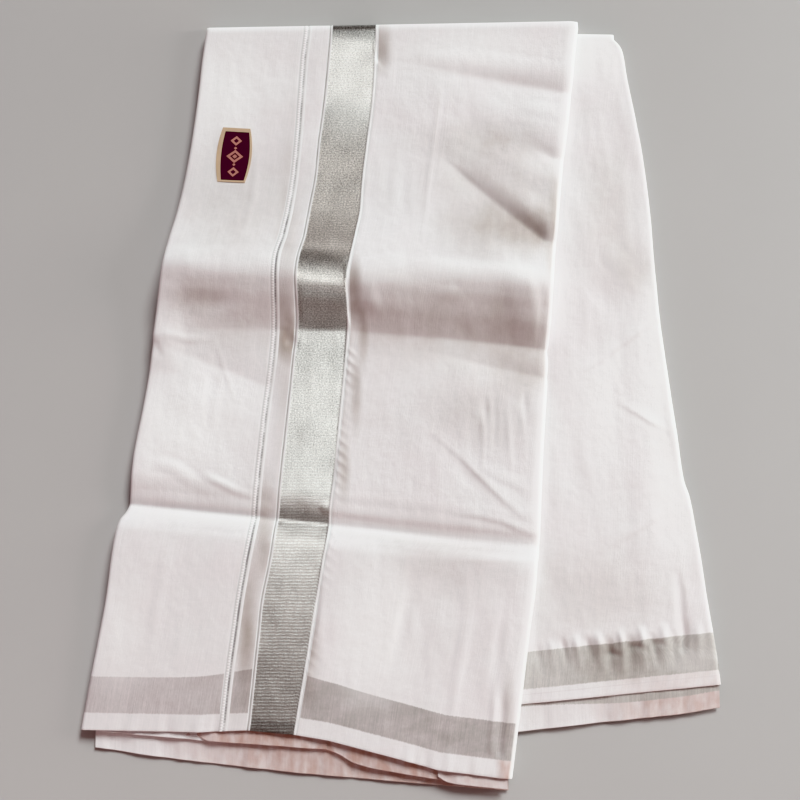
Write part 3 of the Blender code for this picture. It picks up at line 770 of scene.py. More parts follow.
class Nodes:
    """Short calls for building a material's nodes. Lengths are in millimetres."""

    def __init__(self, name):
        self.material = bpy.data.materials.new(name)
        self.material.use_nodes = True
        self.tree = self.material.node_tree
        self.shader = self.tree.nodes["Principled BSDF"]

    def add(self, kind, inputs=(), **settings):
        """A node with its settings, and with values or links on its sockets."""
        node = self.tree.nodes.new("ShaderNode" + kind)
        for key, value in settings.items():
            setattr(node, key, value)
        for socket, value in dict(inputs).items():
            self.put(node.inputs[socket], value)
        return node

    def put(self, socket, value):
        """Sets a socket's value, or links it."""
        if isinstance(value, Value):
            value = value.socket
        if isinstance(value, bpy.types.NodeSocket):
            self.tree.links.new(value, socket)
        else:
            socket.default_value = value

    def math(self, operation, a, b=0.0, clamp=False):
        """One Math node."""
        node = self.add("Math", {0: a, 1: b}, operation=operation, use_clamp=clamp)
        return Value(self, node.outputs[0])

    def uv(self, name):
        """The two coordinates of a UV map."""
        parts = self.add("SeparateXYZ", {0: self.add("UVMap", uv_map=name).outputs[0]})
        return [Value(self, parts.outputs[k]) * (1 / MM) for k in (0, 1)]

    def noise(self, place, size_u, size_v, detail=2.0, rough=0.5):
        """Noise whose grains have the given sizes, from 0 to 1."""
        u, v = place
        spread = self.add("CombineXYZ", {0: u * (1 / size_u), 1: v * (1 / size_v)}).outputs[0]
        made = self.add("TexNoise", {"Vector": spread, "Scale": 1.0, "Detail": detail,
                                     "Roughness": rough}, noise_dimensions="2D")
        return Value(self, made.outputs["Fac"])

    def swing(self, place, size_u, size_v, detail=2.0, rough=0.5):
        """The same noise, from -1 to 1."""
        return (self.noise(place, size_u, size_v, detail, rough) - 0.5) * 2.0

    def wave(self, value, period):
        """A sine along a length."""
        return self.math("SINE", value * (2 * math.pi / period))

    def ramp(self, value, start, end, first=0.0, last=1.0):
        """A value that goes from first to last between two places."""
        node = self.add("MapRange", {0: value, 1: start, 2: end, 3: first, 4: last})
        return Value(self, node.outputs[0])

    def between(self, value, low, high, blur):
        """1 between two places and 0 outside them, with soft edges."""
        return (self.ramp(value, low - blur, low + blur)
                * self.ramp(value, high - blur, high + blur, 1.0, 0.0))

    def mix(self, share, a, b, blend="MIX"):
        """A mix of two colours."""
        node = self.add("Mix", data_type="RGBA", blend_type=blend)
        self.put(node.inputs["Factor"], share)
        self.put(node.inputs[6], a)
        self.put(node.inputs[7], b)
        return node.outputs[2]

    def tinted(self, colour, swing):
        """A colour made lighter and darker by a swing round 0."""
        level = swing + 1.0
        grey = self.add("CombineColor", {0: level, 1: level, 2: level})
        return self.mix(1.0, colour, grey.outputs[0], "MULTIPLY")

    def bump(self, height, distance, strength, under=None):
        """A bump of a real height, on top of another."""
        inputs = {"Height": height, "Distance": distance * MM, "Strength": strength}
        if under is not None:
            inputs["Normal"] = under
        return self.add("Bump", inputs).outputs[0]

    def finish(self, colour, roughness, normal=None, **fixed):
        """Links the shader. fixed values go straight on its own sockets."""
        self.put(self.shader.inputs["Base Color"], colour)
        self.put(self.shader.inputs["Roughness"], roughness)
        if normal is not None:
            self.put(self.shader.inputs["Normal"], normal)
        for name, value in fixed.items():
            self.shader.inputs[name.replace("_", " ")].default_value = value
        return self.material


WHITE = (0.810, 0.808, 0.812, 1.0)
PINK = (0.800, 0.762, 0.775, 1.0)
# Inner sides: the same cotton drawn darker and pinker, as painted shade
INNER_SHADE = (0.72, 0.65, 0.65, 1.0)
# Warm darkening near the hems: painted shade on the front hems, stains on the rear hem
WARM = (0.53, 0.37, 0.33, 1.0)
# Painted shade, and painted light
PAINTED_SHADE = (0.50, 0.43, 0.385, 1.0)
PAINTED_LIGHT = (0.905, 0.905, 0.908, 1.0)
BORDER_GREY = (0.610, 0.560, 0.565, 1.0)
BORDER_TONES = (BORDER_GREY, (0.455, 0.420, 0.410, 1.0))
REAR_BORDER_TONES = ((0.600, 0.578, 0.562, 1.0), (0.480, 0.452, 0.430, 1.0))
SILVER_THREAD = (0.745, 0.765, 0.745, 1.0)
SILVER_GROUND = (0.60, 0.595, 0.575, 1.0)
WARM_THREAD = (0.770, 0.745, 0.715, 1.0)
WARM_GROUND = (0.60, 0.565, 0.53, 1.0)
BROWN_GROUND = (0.47, 0.425, 0.405, 1.0)
# Painted shade in the piping's groove
GROOVE_SHADE = (0.26, 0.23, 0.22, 1.0)
LADDER = (0.82, 0.805, 0.812, 1.0)
DASH = (0.20, 0.18, 0.185, 1.0)
LINE_SHADE = (0.30, 0.27, 0.27, 1.0)
FLOOR_GREY = (0.50, 0.49, 0.485, 1.0)
STICKER_INKS = {
    "sticker_border": (0.56, 0.42, 0.30, 1.0),
    "sticker_field": (0.048, 0.005, 0.016, 1.0),
    "sticker_marks": (0.47, 0.22, 0.19, 1.0),
}
MATT_CLOTH = {"Metallic": 0.0, "Sheen_Weight": 0.12, "Sheen_Roughness": 0.45,
              "Specular_IOR_Level": 0.25}
THREAD_SPACING = 0.62
RIB_SPACING = 2.55
RUNG_SPACING = 2.3


def cotton(name, border=None, tone=WHITE, second=PINK, hem_line=None, stain_and_shade=None,
           with_painted_shading=False, border_tones=BORDER_TONES):
    """Plain woven cotton, with a grey border woven in at a distance from the hem.

    border holds the border's two distances from the hem and the stretch along X over which
    it grows darker. stain_and_shade holds the stretch over which the cloth itself grows
    darker and warmer, how much, and how far up from the hem: painted shade on the front hems,
    and stains on the rear hem. hem_line is where a thin grey thread runs.
    with_painted_shading mixes in the painted shade and painted light of the sheet's map.
    """
    n = Nodes(name)
    cloth = n.uv("cloth")
    sideways, from_hem = n.uv("hem")
    warp = n.swing(cloth, 0.9, 46)
    weft = n.swing(cloth, 30, 0.9)
    slub = n.swing(cloth, 1.6, 14, 3.0)
    colour = n.mix(n.noise(cloth, 58, 66, 3.0, 0.55), tone, second)
    # Warm darkening near the hem: painted shade on the front hems, stains on the rear hem
    if stain_and_shade:
        start, end, strongest, reach = stain_and_shade
        share = n.ramp(sideways, start, end) * n.ramp(from_hem, reach * 0.4, reach, 1.0, 0.0)
        uneven = n.ramp(n.noise(cloth, 8, 17), 0.30, 0.66, 0.5)
        colour = n.mix(share * uneven * strongest, colour, WARM)
    colour = n.tinted(colour, warp * 0.035 + weft * 0.012 + slub * 0.03)
    if border:
        low, high, paler, darker = border
        inside = n.between(from_hem + n.swing(cloth, 1.2, 60) * 0.55, low, high, 0.45)
        patch = n.ramp(n.noise(cloth, 34, 16, 3.0, 0.6), 0.34, 0.62, 0.45)
        grey = n.mix(patch * n.ramp(sideways, paler, darker, 0.10), *border_tones)
        streaks = warp * 0.16 + n.swing(cloth, 0.7, 2.6) * 0.10 + slub * 0.10
        colour = n.mix(inside, colour, n.tinted(grey, streaks))
    if hem_line:
        line = n.between(from_hem, hem_line - 0.35, hem_line + 0.35, 0.3)
        colour = n.mix(line * 0.28, colour, BORDER_GREY)
    # Painted shade and painted light: darker and paler places from the sheet's map
    if with_painted_shading:
        dark, pale = n.uv("painted_shading")
        dark = dark * (n.noise(cloth, 19, 24) * 0.9 + 0.55)
        colour = n.mix(dark.clamped(), colour, PAINTED_SHADE, "MULTIPLY")
        colour = n.mix(pale.clamped(), colour, PAINTED_LIGHT)
    threads = n.wave(cloth[0], THREAD_SPACING) * n.wave(cloth[1], THREAD_SPACING)
    relief = n.bump(threads, 0.03, 0.5)
    relief = n.bump(warp + weft * 0.35, 0.045, 0.6, relief)
    relief = n.bump(n.swing(cloth, 7, 9, 3.0, 0.55), 0.16, 0.7, relief)
    return n.finish(colour, warp * 0.05 + 0.86, relief, **MATT_CLOTH)


# Painted light and shade on the silver: where it is drawn duller or brighter over its folds, by distance
# from the hem
ZariPaintedLight = namedtuple("ZariPaintedLight", "start end blur change")
ZARI_PAINTED_LIGHT = (
    ZariPaintedLight(601, 700, 4, -0.46),
    ZariPaintedLight(540, 598, 12, 0.20),
    ZariPaintedLight(436, 525, 28, -0.28),
    ZariPaintedLight(377, 398, 6, -0.34),
    ZariPaintedLight(363, 375, 3, 0.26),
    ZariPaintedLight(338, 358, 5, 0.16),
    ZariPaintedLight(296, 322, 12, -0.17),
    ZariPaintedLight(184, 206, 7, 0.08),
    ZariPaintedLight(175, 188, 3, 0.42),
    ZariPaintedLight(120, 166, 10, 0.12),
    ZariPaintedLight(-2, 9, 1.5, -0.32),
)


def silver_zari():
    """The silver band: flat metal thread, ribbed near the hem and grainy above."""
    n = Nodes("silver_zari")
    band = n.uv("band")
    from_hem = n.uv("hem")[1]
    wander = n.swing(band, 22, 40) * 0.5 + n.swing(band, 2.6, 5, 1.0) * 0.45
    rib = n.wave(band[1] + wander, RIB_SPACING)
    patchy = n.noise(band, 3.4, RIB_SPACING) * 1.8 - 0.15
    grainy = n.ramp(from_hem, 165, 235)
    crest = (n.math("POWER", rib * 0.5 + 0.5, 1.6) * patchy).clamped() * (1.0 - grainy * 0.50)
    grain = n.swing(band, 1.3, 1.0, 1.0)
    high = n.between(from_hem, 380, 510, 20)
    ground = n.mix(n.ramp(from_hem, 90, 190, 1.0, 0.0), SILVER_GROUND, BROWN_GROUND)
    ground = n.mix(high, n.tinted(ground, grainy * 0.06), WARM_GROUND)
    colour = n.mix(crest, ground, n.mix(high, SILVER_THREAD, WARM_THREAD))
    swing = n.swing(band, 0.9, 7) * 0.16 + n.swing(band, 16, 20) * 0.12
    swing = swing + grain * (grainy * 0.34 + 0.28)
    # painted light and shade along the band's folds
    for tone in ZARI_PAINTED_LIGHT:
        swing = swing + n.between(from_hem, tone.start, tone.end, tone.blur) * tone.change
    relief = n.bump(grain, 0.06, 0.7, n.bump(crest, 0.05, 0.8))
    return n.finish(n.tinted(colour, swing), grain * 0.12 + 0.36, relief,
                    Metallic=0.86, Specular_IOR_Level=0.5)


def piping():
    """The thin white cords beside the band; the left-hand one has a groove outside it, with painted shade
    in it.
    """
    n = Nodes("white_piping")
    aside, along = band = n.uv("band")
    twist = n.wave(along + aside * 0.8, 1.5)
    worn = n.swing(band, 1.5, 12)
    # painted shade in the groove beside the left-hand cord
    groove = n.between(aside, 0.9, 1.9, 0.35) * (worn * 0.45 + 0.60)
    colour = n.mix(groove, n.tinted(WHITE, twist * 0.05 + worn * 0.08), GROOVE_SHADE)
    return n.finish(colour, 0.8, n.bump(twist, 0.08, 0.8), **MATT_CLOTH)


# Where the thin line's dashes are strong: start and end from the hem
STRONG_DASHES = ((341, 425), (612, 700), (12, 165))


def woven_line():
    """The thin line: a light ladder, dark dashes beside it, a white cord at its right, and painted shade
    along its left edge.
    """
    n = Nodes("woven_line")
    aside, along = band = n.uv("band")
    from_hem = n.uv("hem")[1]
    rung = n.wave(along, RUNG_SPACING)
    worn = n.swing(band, 20, 16, 3.0, 0.6)
    strong = sum(n.between(from_hem, start, end, 9) for start, end in STRONG_DASHES)
    dash = (rung * 0.18 + strong * 0.45 + worn + 0.36).clamped()
    dark = n.between(aside, 3.8, 5.5, 0.35) * dash
    ladder = n.between(aside, 1.5, 3.7, 0.3)
    colour = n.mix(ladder, WHITE, n.tinted(LADDER, rung * 0.11))
    colour = n.mix(dark * 0.80, colour, DASH)
    # painted shade along the line's left edge
    colour = n.mix(n.between(aside, 0.4, 1.2, 0.4) * 0.26, colour, LINE_SHADE)
    return n.finish(colour, 0.8, n.bump(ladder * rung * 0.5 - dark, 0.14, 0.8), **MATT_CLOTH)


def printed_paper(name, ink):
    """Sticker paper printed in one ink, with a fine tooth."""
    n = Nodes(name)
    place = n.uv("cloth")
    tooth = n.swing(place, 0.6, 0.6)
    colour = n.tinted(ink, tooth * 0.05 + n.swing(place, 12, 15) * 0.10)
    return n.finish(colour, tooth * 0.05 + 0.62, n.bump(tooth, 0.02, 0.6),
                    Metallic=0.0, Specular_IOR_Level=0.12)


# The front leaf


# What the mesh's columns show, as numbers of the front sheet's materials
COTTON, SILVER, PIPING, LINE = range(4)

# Spacing of a sheet's rows and columns
ROW_SPACING = 1.75
COTTON_SPACING = 1.9
BAND_SPACING = 1.7
LINE_SPACING = 0.66
LEFT_PIPING_SPACING = 0.56
RIGHT_PIPING_SPACING = 0.53
REAR_ROW_SPACING = 1.9
REAR_COLUMN_SPACING = 1.8

# How far the weave is shifted on the other pieces, so that no two show the same noise
REAR_WEAVE_SHIFT = 400
LAYER_WEAVE_SHIFT = 37
SIDE_WEAVE_SHIFT = 91
UNDERSIDE_WEAVE_SHIFT = 211


def front_middle(rows):
    """The front leaf's middle line."""
    return np.stack(((rows[:, 0] + rows[:, 2]) / 2, (rows[:, 1] + rows[:, 3]) / 2, rows[:, 5]),
                    axis=-1)


def rear_middle(rows):
    """The rear leaf's line of rows, beside its right-hand fold."""
    return np.stack((rows[:, 1], (rows[:, 0] + rows[:, 2]) / 2, rows[:, 3]), axis=-1)


def even_stations(table, middle, spacing):
    """Row numbers that lie about a spacing apart on a leaf's middle line."""
    last = len(table) - 1
    fine = np.linspace(0, last, last * 60 + 1)
    lengths = lengths_along(middle(smooth_rows(table, fine)), 0)
    count = int(round(lengths[-1] / spacing))
    return np.interp(np.linspace(0, lengths[-1], count + 1), lengths, fine)


SHARE_ROUNDS = 8


def feature_shares(v):
    """Shares across the front leaf of the woven line and the band's two edges.

    Their places are given by Y, which changes with the share itself, so each share is
    found in a few rounds.
    """
    rows = smooth_rows(FRONT_ROWS, v)
    index = np.arange(len(BAND_ROWS))
    ys = np.array([row.y for row in BAND_ROWS], float)
    shares = []
    for column in (1, 2, 3):
        share = np.full(v.shape, 0.4)
        for _ in range(SHARE_ROUNDS):
            y = front_surface(share, v)[..., 1]
            x = smooth_rows(BAND_ROWS, np.interp(-y, -ys, index))[..., column]
            share = (x - rows[..., 0]) / (rows[..., 2] - rows[..., 0])
        shares.append(share)
    return shares


def front_columns(v):
    """Shares across the front leaf for each row, with the material of each column of faces
    and the place of the first line and band columns."""
    rows = smooth_rows(FRONT_ROWS, v)
    width = np.hypot(rows[:, 2] - rows[:, 0], rows[:, 3] - rows[:, 1])
    line, left, right = feature_shares(v)
    stops = (
        (LEFT_NOSE.reach / width, None, COTTON),
        (line - LINE_LEFT / width, COTTON_SPACING, COTTON),
        (line + (LINE_WIDTH - LINE_LEFT) / width, LINE_SPACING, LINE),
        (left - LEFT_PIPING / width, COTTON_SPACING, COTTON),
        (left, LEFT_PIPING_SPACING, PIPING),
        (right, BAND_SPACING, SILVER),
        (right + RIGHT_PIPING / width, RIGHT_PIPING_SPACING, PIPING),
        (1 - RIGHT_NOSE.reach / width, COTTON_SPACING, COTTON),
    )
    shares, numbers, starts = [stops[0][0]], [], []
    for (before, _, _), (after, step, number) in zip(stops, stops[1:]):
        count = max(1, int(round(np.mean((after - before) * width) / step)))
        starts.append(len(numbers))
        for k in range(1, count + 1):
            shares.append(before + (after - before) * k / count)
            numbers.append(number)
    return np.stack(shares, axis=1), numbers, starts


# How the cords beside the band and in the woven line rise, by millimetres from the
# strip's left edge: a groove is negative.
CordPoint = namedtuple("CordPoint", "aside rise")
LINE_PROFILE = (CordPoint(0.0, 0.0), CordPoint(0.7, -0.18), CordPoint(1.4, 0.0), CordPoint(2.2, 0.28),
                CordPoint(3.4, 0.0), CordPoint(4.4, -0.25), CordPoint(5.5, 0.0), CordPoint(6.4, 0.25),
                CordPoint(7.4, 0.0), CordPoint(8.0, 0.0))
LEFT_PIPING_PROFILE = (CordPoint(0.0, 0.0), CordPoint(1.4, -0.3), CordPoint(2.0, -0.05),
                       CordPoint(2.7, 0.3), CordPoint(3.4, -0.1))
RIGHT_PIPING_PROFILE = (CordPoint(0.0, -0.1), CordPoint(0.7, 0.32), CordPoint(1.4, -0.05),
                        CordPoint(2.2, -0.2), CordPoint(3.2, 0.0))


def cord_relief(shape, starts, numbers):
    """The piping and the woven line stand a little proud of the cloth."""
    lift = np.zeros(shape)
    for start, profile in ((starts[1], LINE_PROFILE), (starts[3], LEFT_PIPING_PROFILE),
                           (starts[5], RIGHT_PIPING_PROFILE)):
        end = start
        while end < len(numbers) and numbers[end] == numbers[start]:
            end += 1
        aside = np.linspace(0, profile[-1].aside, end - start + 1)
        lift[:, start:end + 1] += np.interp(aside, [p.aside for p in profile],
                                            [p.rise for p in profile])
    return lift


def make_front_sheet(finishes):
    """The sheet that shows on the front leaf, over the top fold and both side edges."""
    v = even_stations(FRONT_ROWS, front_middle, ROW_SPACING)
    shares, numbers, starts = front_columns(v)
    points = front_surface(shares, v[:, None])
    x, y = points[..., 0], points[..., 1]
    relief = fold_relief(FRONT_FOLDS + band_puckers(), x, y) + undulation(x, y, 11)
    calm = smooth_step(0, 1.0, v)[:, None]
    points[..., 2] += relief * calm + cord_relief(x.shape, starts, numbers)
    edge_y, edge_z = points[:, -1, 1], points[:, -1, 2]
    level_right = np.where(edge_y > REAR_ROWS[-1].y_left, rear_level(edge_y) + REAR_CLEARANCE,
                           edge_z - RIGHT_NOSE.upper - HEM_LOWER)
    right_lower = np.maximum(edge_z - RIGHT_NOSE.upper - level_right, LEAST_LOWER)
    left_lower = np.full(len(v), LEFT_LOWER)
    grid = hem_turn(turned_sheet(points, TOP_NOSE, LEFT_NOSE, RIGHT_NOSE, left_lower,
                                 right_lower, UNDERSIDE_LEVEL))
    across, along = lengths_along(grid, 1), lengths_along(grid, 0)
    from_hem = hem_distance(along)
    drawn = BORDER_SWELL * np.exp(-((grid[..., 0] - BORDER_SWELL_X) / BORDER_SWELL_REACH)**2)
    from_hem = from_hem - drawn * np.clip(from_hem - BORDER_LOW, 0.0, BORDER_HIGH - BORDER_LOW)
    line_start, band_start = starts[1] + NOSE_STEPS, starts[3] + NOSE_STEPS
    in_line = across - across[:, line_start:line_start + 1]
    in_band = across - across[:, band_start:band_start + 1]
    side = np.where(np.arange(grid.shape[1]) < band_start - 2, in_line, in_band)
    numbers = [COTTON] * NOSE_STEPS + numbers + [COTTON] * NOSE_STEPS
    dark, pale = painted_shading_map(FRONT_PAINTED_SHADING, grid[..., 0], grid[..., 1])
    # painted highlight along the right-hand roll
    pale[:, 2 - NOSE_STEPS:] += ROLL_PAINTED_HIGHLIGHT
    made = sheet_object("front_sheet", grid,
                        {"cloth": (across, along), "hem": (grid[..., 0], from_hem),
                         "band": (side, along), "painted_shading": (dark, pale)},
                        finishes, numbers)
    return join_up(made, "front_top_panel"), grid


def make_rear_sheet(finish):
    """The sheet that shows on the rear leaf."""
    v = even_stations(REAR_ROWS, rear_middle, REAR_ROW_SPACING)
    row = smooth_rows(REAR_ROWS, v)
    x_left = front_edge_x(row[:, 0]) + SEAM
    width = row[:, 1] - x_left
    first = -REAR_TUCK / width
    last = 1 - REAR_RIGHT_NOSE.reach / width
    count = int(round(np.max(width) / REAR_COLUMN_SPACING))
    shares = first[:, None] + (last - first)[:, None] * np.linspace(0, 1, count + 1)
    points = rear_surface(shares, v[:, None])
    x, y = points[..., 0], points[..., 1]
    clear = smooth_step(-2.0, 6.0, shares * width[:, None])
    relief = fold_relief(REAR_FOLDS, x, y) + undulation(x, y, 41)
    points[..., 2] += relief * clear * smooth_step(0, 1.0, v)[:, None]
    lower = np.full(len(v), REAR_LOWER)
    grid = hem_turn(turned_sheet(points, REAR_TOP_NOSE, None, REAR_RIGHT_NOSE, lower, lower,
                                 UNDERSIDE_LEVEL))
    across, along = lengths_along(grid, 1), lengths_along(grid, 0)
    made = sheet_object("rear_sheet", grid,
                        {"cloth": (across + REAR_WEAVE_SHIFT, along),
                         "hem": (grid[..., 0], hem_distance(along)),
                         "painted_shading": painted_shading_map(REAR_PAINTED_SHADING, grid[..., 0], grid[..., 1])},
                        [finish])
    join_up(made, "rear_top_panel")
    return grid


# The lower thicknesses


def hem_layer(layer, depth, finish, seed, border_skew=0.0):
    """A lower thickness's hem, from inside the bundle out to its selvedge.

    border_skew is how much farther from the hem its border lies at the left end.
    """
    edge = np.array(layer.edge, float)
    length = edge[-1, 0] - edge[0, 0]
    count = int(round(length / LAYER_SPACING))
    x = np.linspace(edge[0, 0], edge[-1, 0], count + 1)
    y_edge = np.interp(x, edge[:, 0], edge[:, 1])
    kernel = np.hanning(2 * EDGE_SMOOTHING + 1)
    padded = np.pad(y_edge, EDGE_SMOOTHING, mode="edge")
    y_edge = np.convolve(padded, kernel / kernel.sum(), "valid")
    rows = []
    for share in 1 - np.linspace(1, 0, LAYER_ROWS)**LAYER_CROWDING:
        y = y_edge + depth * (1 - share)
        z = layer.z_start + (layer.z_edge - layer.z_start) * smooth_step(0.1, 1.0, share)
        ripple = (0.80 * soft_noise(x, y * 0.4, 7, 30, seed)
                  + 0.4 * soft_noise(x, y, 24, 40, seed + 1))
        z = z + ripple * share * min(1.0, layer.z_edge / FULL_RIPPLE_LEVEL)
        rows.append(np.stack((x, y, np.maximum(z, LOWEST_LAYER)), axis=-1))
    grid = hem_turn(np.array(rows))
    across, along = lengths_along(grid, 1), lengths_along(grid, 0)
    skew = border_skew * (1 - smooth_step(0, 0.6, across / across[:, -1:]))
    made = sheet_object(layer.name, grid,
                        {"cloth": (across + LAYER_WEAVE_SHIFT * seed, along),
                         "hem": (grid[..., 0], hem_distance(along) - skew)},
                        [finish])
    join_up(made, layer.node)


# The folded edges along a side: the rows of the sheet over them, which way they face, how
# far inside its border they lie, how many folds there are, and how far they wander
SideFolds = namedtuple("SideFolds", "name rows facing inset folds seed wander")
FOLD_INNER = 7.0
FOLD_NOSE = 1.4
FOLD_BEND = np.linspace(math.pi / 2, -math.pi / 2, 9)

# The rows of a sheet that its folded edges and its underside follow
SIDE_ROWS = slice(3, -6, 2)
UNDERSIDE_ROWS = slice(NOSE_STEPS, -5, 12)

# How far the front leaf's folded edges run past the rear leaf's hem and its top fold
REAR_HEM_OVERLAP = 22
REAR_TOP_OVERLAP = 6


def pleated_side(side, finish):
    """The folded edges of the hidden thicknesses along a side, one round nose for each fold.

    A side that faces -1 is a left-hand one, and 1 a right-hand one.
    """
    edge, widest = (0, NOSE_STEPS - 5) if side.facing < 0 else (-1, 4 - NOSE_STEPS)
    line = side.rows[:, widest] - (side.facing * side.inset, 0, 0)
    tops = np.maximum(side.rows[:, edge, 2] + 0.1, 0.8)
    lengths = lengths_along(line, 0)

    def uneven(shift, size, seed):
        """Noise along one fold's edge, with waves of a size."""
        return soft_noise(lengths, np.full_like(lengths, shift), size, 20, side.seed + seed)

    columns = []
    for k in range(side.folds):
        low, high = (tops * (side.folds - k - j) / side.folds for j in (1, 0))
        middle, half = (low + high) / 2, (high - low) / 2
        out = side.wander * uneven(60.0 * k, 70, 0) + 0.5 * uneven(90.0 * k, 17, 1)
        swell = 1 + 0.12 * uneven(50.0 * k, 26, 2)
        inner = np.full_like(out, -FOLD_INNER)
        columns.append((inner, middle + half * 0.9))
        for a in FOLD_BEND:
            columns.append((out - 1.2 + np.minimum(half, FOLD_NOSE) * math.cos(a) * swell,
                            middle + half * 0.96 * math.sin(a)))
        columns.append((inner, middle - half * 0.9))
    grid = np.stack([np.stack((line[:, 0] + side.facing * out, line[:, 1], z), axis=-1)
                     for out, z in columns], axis=1)
    across, along = lengths_along(grid, 1), lengths_along(grid, 0)
    made = sheet_object(side.name, grid,
                        {"cloth": (across + SIDE_WEAVE_SHIFT * side.seed, along),
                         "hem": (across, along)},
                        [finish])
    join_up(made, "hidden_layers")


def make_sides(front_grid, rear_grid, finish):
    """The layered sides of both leaves."""
    right_y = front_grid[:, -1, 1]
    past_rear_hem = right_y < REAR_ROWS[-1].y_left + REAR_HEM_OVERLAP
    past_rear_hem[SIDE_ROWS.stop:] = False
    above_rear_fold = right_y > REAR_ROWS[0].y_left - REAR_TOP_OVERLAP
    for side in (
            SideFolds("left_folds", front_grid[SIDE_ROWS], -1, 1.0, 5, 5, 1.2),
            SideFolds("right_folds", front_grid[past_rear_hem], 1, 1.0, 3, 7, 0.8),
            SideFolds("top_right_folds", front_grid[above_rear_fold], 1, 1.0, 3, 8, 0.0),
            SideFolds("rear_right_folds", rear_grid[SIDE_ROWS], 1, 0.8, 3, 9, 1.0)):
        pleated_side(side, finish)


def make_undersides(front_grid, rear_grid, finish):
    """The lowest sheet of each leaf, flat on the surface."""
    for name, grid, first_column, seed, flat, area in (
            ("front_underside", front_grid, NOSE_STEPS, 3, (0.350, 0.640), 0.213),
            ("rear_underside", rear_grid, 0, 4, (0.175, 0.575), 0.057)):
        rows = grid[UNDERSIDE_ROWS]
        left, right = rows[:, first_column], rows[:, -NOSE_STEPS]
        share = np.linspace(0, 1, 25)[None, :, None]
        points = left[:, None] + (right - left)[:, None] * share
        points[..., 2] = UNDERSIDE_LEVEL - 0.1
        across, along = lengths_along(points, 1), lengths_along(points, 0)
        made = sheet_object(name, points[:, ::-1],
                            {"cloth": (across + UNDERSIDE_WEAVE_SHIFT * seed, along),
                             "hem": (across, along)},
                            [finish])
        join_up(made, "hidden_layers")


# The sticker


def label_point(x, y):
    """A point of the sticker's own millimetres, on the leaf."""
    return (x * math.cos(LABEL_TURN) - y * math.sin(LABEL_TURN) + LABEL_CENTRE[0],
            x * math.sin(LABEL_TURN) + y * math.cos(LABEL_TURN) + LABEL_CENTRE[1])


def label_place(aside, down):
    """A place on the sticker, from -1 to 1 both ways, on the leaf in millimetres."""
    half = LABEL_HALF_WIDTH + LABEL_BULGE * (1 - down**2)
    return label_point(aside * half, down * LABEL_HALF_HEIGHT)


def lozenge_grid(centre_y, half_x, half_y, hole):
    """A lozenge on the sticker's middle line, with a lozenge-shaped hole."""
    corners = ((half_x, 0), (0, half_y), (-half_x, 0), (0, -half_y), (half_x, 0))
    rows = []
    for share in (1.0, (1 + hole) / 2, hole):
        row = []
        for (x0, y0), (x1, y1) in zip(corners, corners[1:]):
            for u in (0, 0.25, 0.5, 0.75):
                row.append(label_point((x0 + (x1 - x0) * u) * share + LABEL_ORNAMENT_X,
                                       (y0 + (y1 - y0) * u) * share + centre_y))
        row.append(row[0])
        rows.append(row)
    return rows


def make_label(front_sheet, finishes):
    """The sticker, with a plain row of lozenges in its field."""
    tree = BVHTree.FromObject(front_sheet, bpy.context.evaluated_depsgraph_get())

    def laid(rows, lift):
        """Plan points set on the leaf, at a height above it."""
        grid = []
        for row in rows:
            line = []
            for x, y in row:
                hit = tree.ray_cast(Vector((x * MM, y * MM, 0.1)), Vector((0, 0, -1)))[0]
                line.append((x, y, hit.z / MM + lift))
            grid.append(line)
        return np.array(grid)

    def outline(half_share, top_share, low_share, shift):
        """The sticker's outline, drawn in by its margins."""
        rows = []
        for down in np.linspace(top_share, -low_share, LABEL_ROWS):
            rows.append([label_place(a * half_share + shift, down)
                         for a in np.linspace(-1, 1, LABEL_COLUMNS)])
        return rows

    border, field_paper, marks = finishes
    base = outline(1.0, 1.0, 1.0, 0.0)
    grids = [(laid(base, LABEL_LIFT), border),
             (laid(outline(*LABEL_FIELD), LABEL_LIFT + FIELD_RISE), field_paper)]
    grids += [(laid(lozenge_grid(*lozenge), LABEL_LIFT + MARK_RISE), marks)
              for lozenge in ORNAMENT]
    loops = []
    for lift in (LABEL_LIFT, SKIRT_LIFT):
        g = laid(base, lift)
        loops.append(np.concatenate((g[0], g[1:, -1], g[-1, -2::-1], g[-2::-1, 0])))
    grids.append((np.array(loops), border))
    parts = []
    for k, (grid, paper) in enumerate(grids):
        parts.append(sheet_object(f"sticker_{k}", grid, {"cloth": (grid[..., 0], grid[..., 1])},
                                  [paper]))
    merged = join_meshes("size_sticker", parts)
    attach(merged, "root")
    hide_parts("size_label")


def join_meshes(name, parts):
    """One object from several."""
    with bpy.context.temp_override(active_object=parts[0], object=parts[0],
                                   selected_editable_objects=parts, selected_objects=parts):
        bpy.ops.object.join()
    parts[0].name = name
    parts[0].data.name = name
    return parts[0]


# Stage, light and camera

# Places and sizes in metres. Only the card and the light at the right show in the silver.
AreaLight = namedtuple("AreaLight", "name place target size power colour mirrored")
AREA_LIGHTS = (
    AreaLight("card", (0.0, 0.52, 1.7), (0.0, 0.52, 0.0), (1.6, 1.94), 13.6,
              (0.955, 1.0, 0.995), True),
    AreaLight("right_side", (1.4, 0.20, 0.17), (0.1, 0.0, 0.0), (0.3, 1.4), 17.0,
              (0.97, 1.0, 0.99), True),
    AreaLight("hem_side", (-0.2, -2.4, 0.66), (0.0, -0.1, 0.0), (2.0, 0.8), 14.4,
              (1.0, 0.63, 0.55), False),
    AreaLight("left_side", (-2.3, -1.3, 1.0), (-0.1, -0.1, 0.0), (1.0, 1.0), 6.4,
              (1.0, 0.66, 0.86), False),
)
KEY_ENERGY = 3.30
KEY_COLOUR = (0.93, 1.0, 0.993)
KEY_SOFTNESS = math.radians(20)
KEY_TILT = math.radians(51)
KEY_TURN = math.radians(28)
ROOM_COLOUR = (1.0, 0.70, 0.64, 1.0)
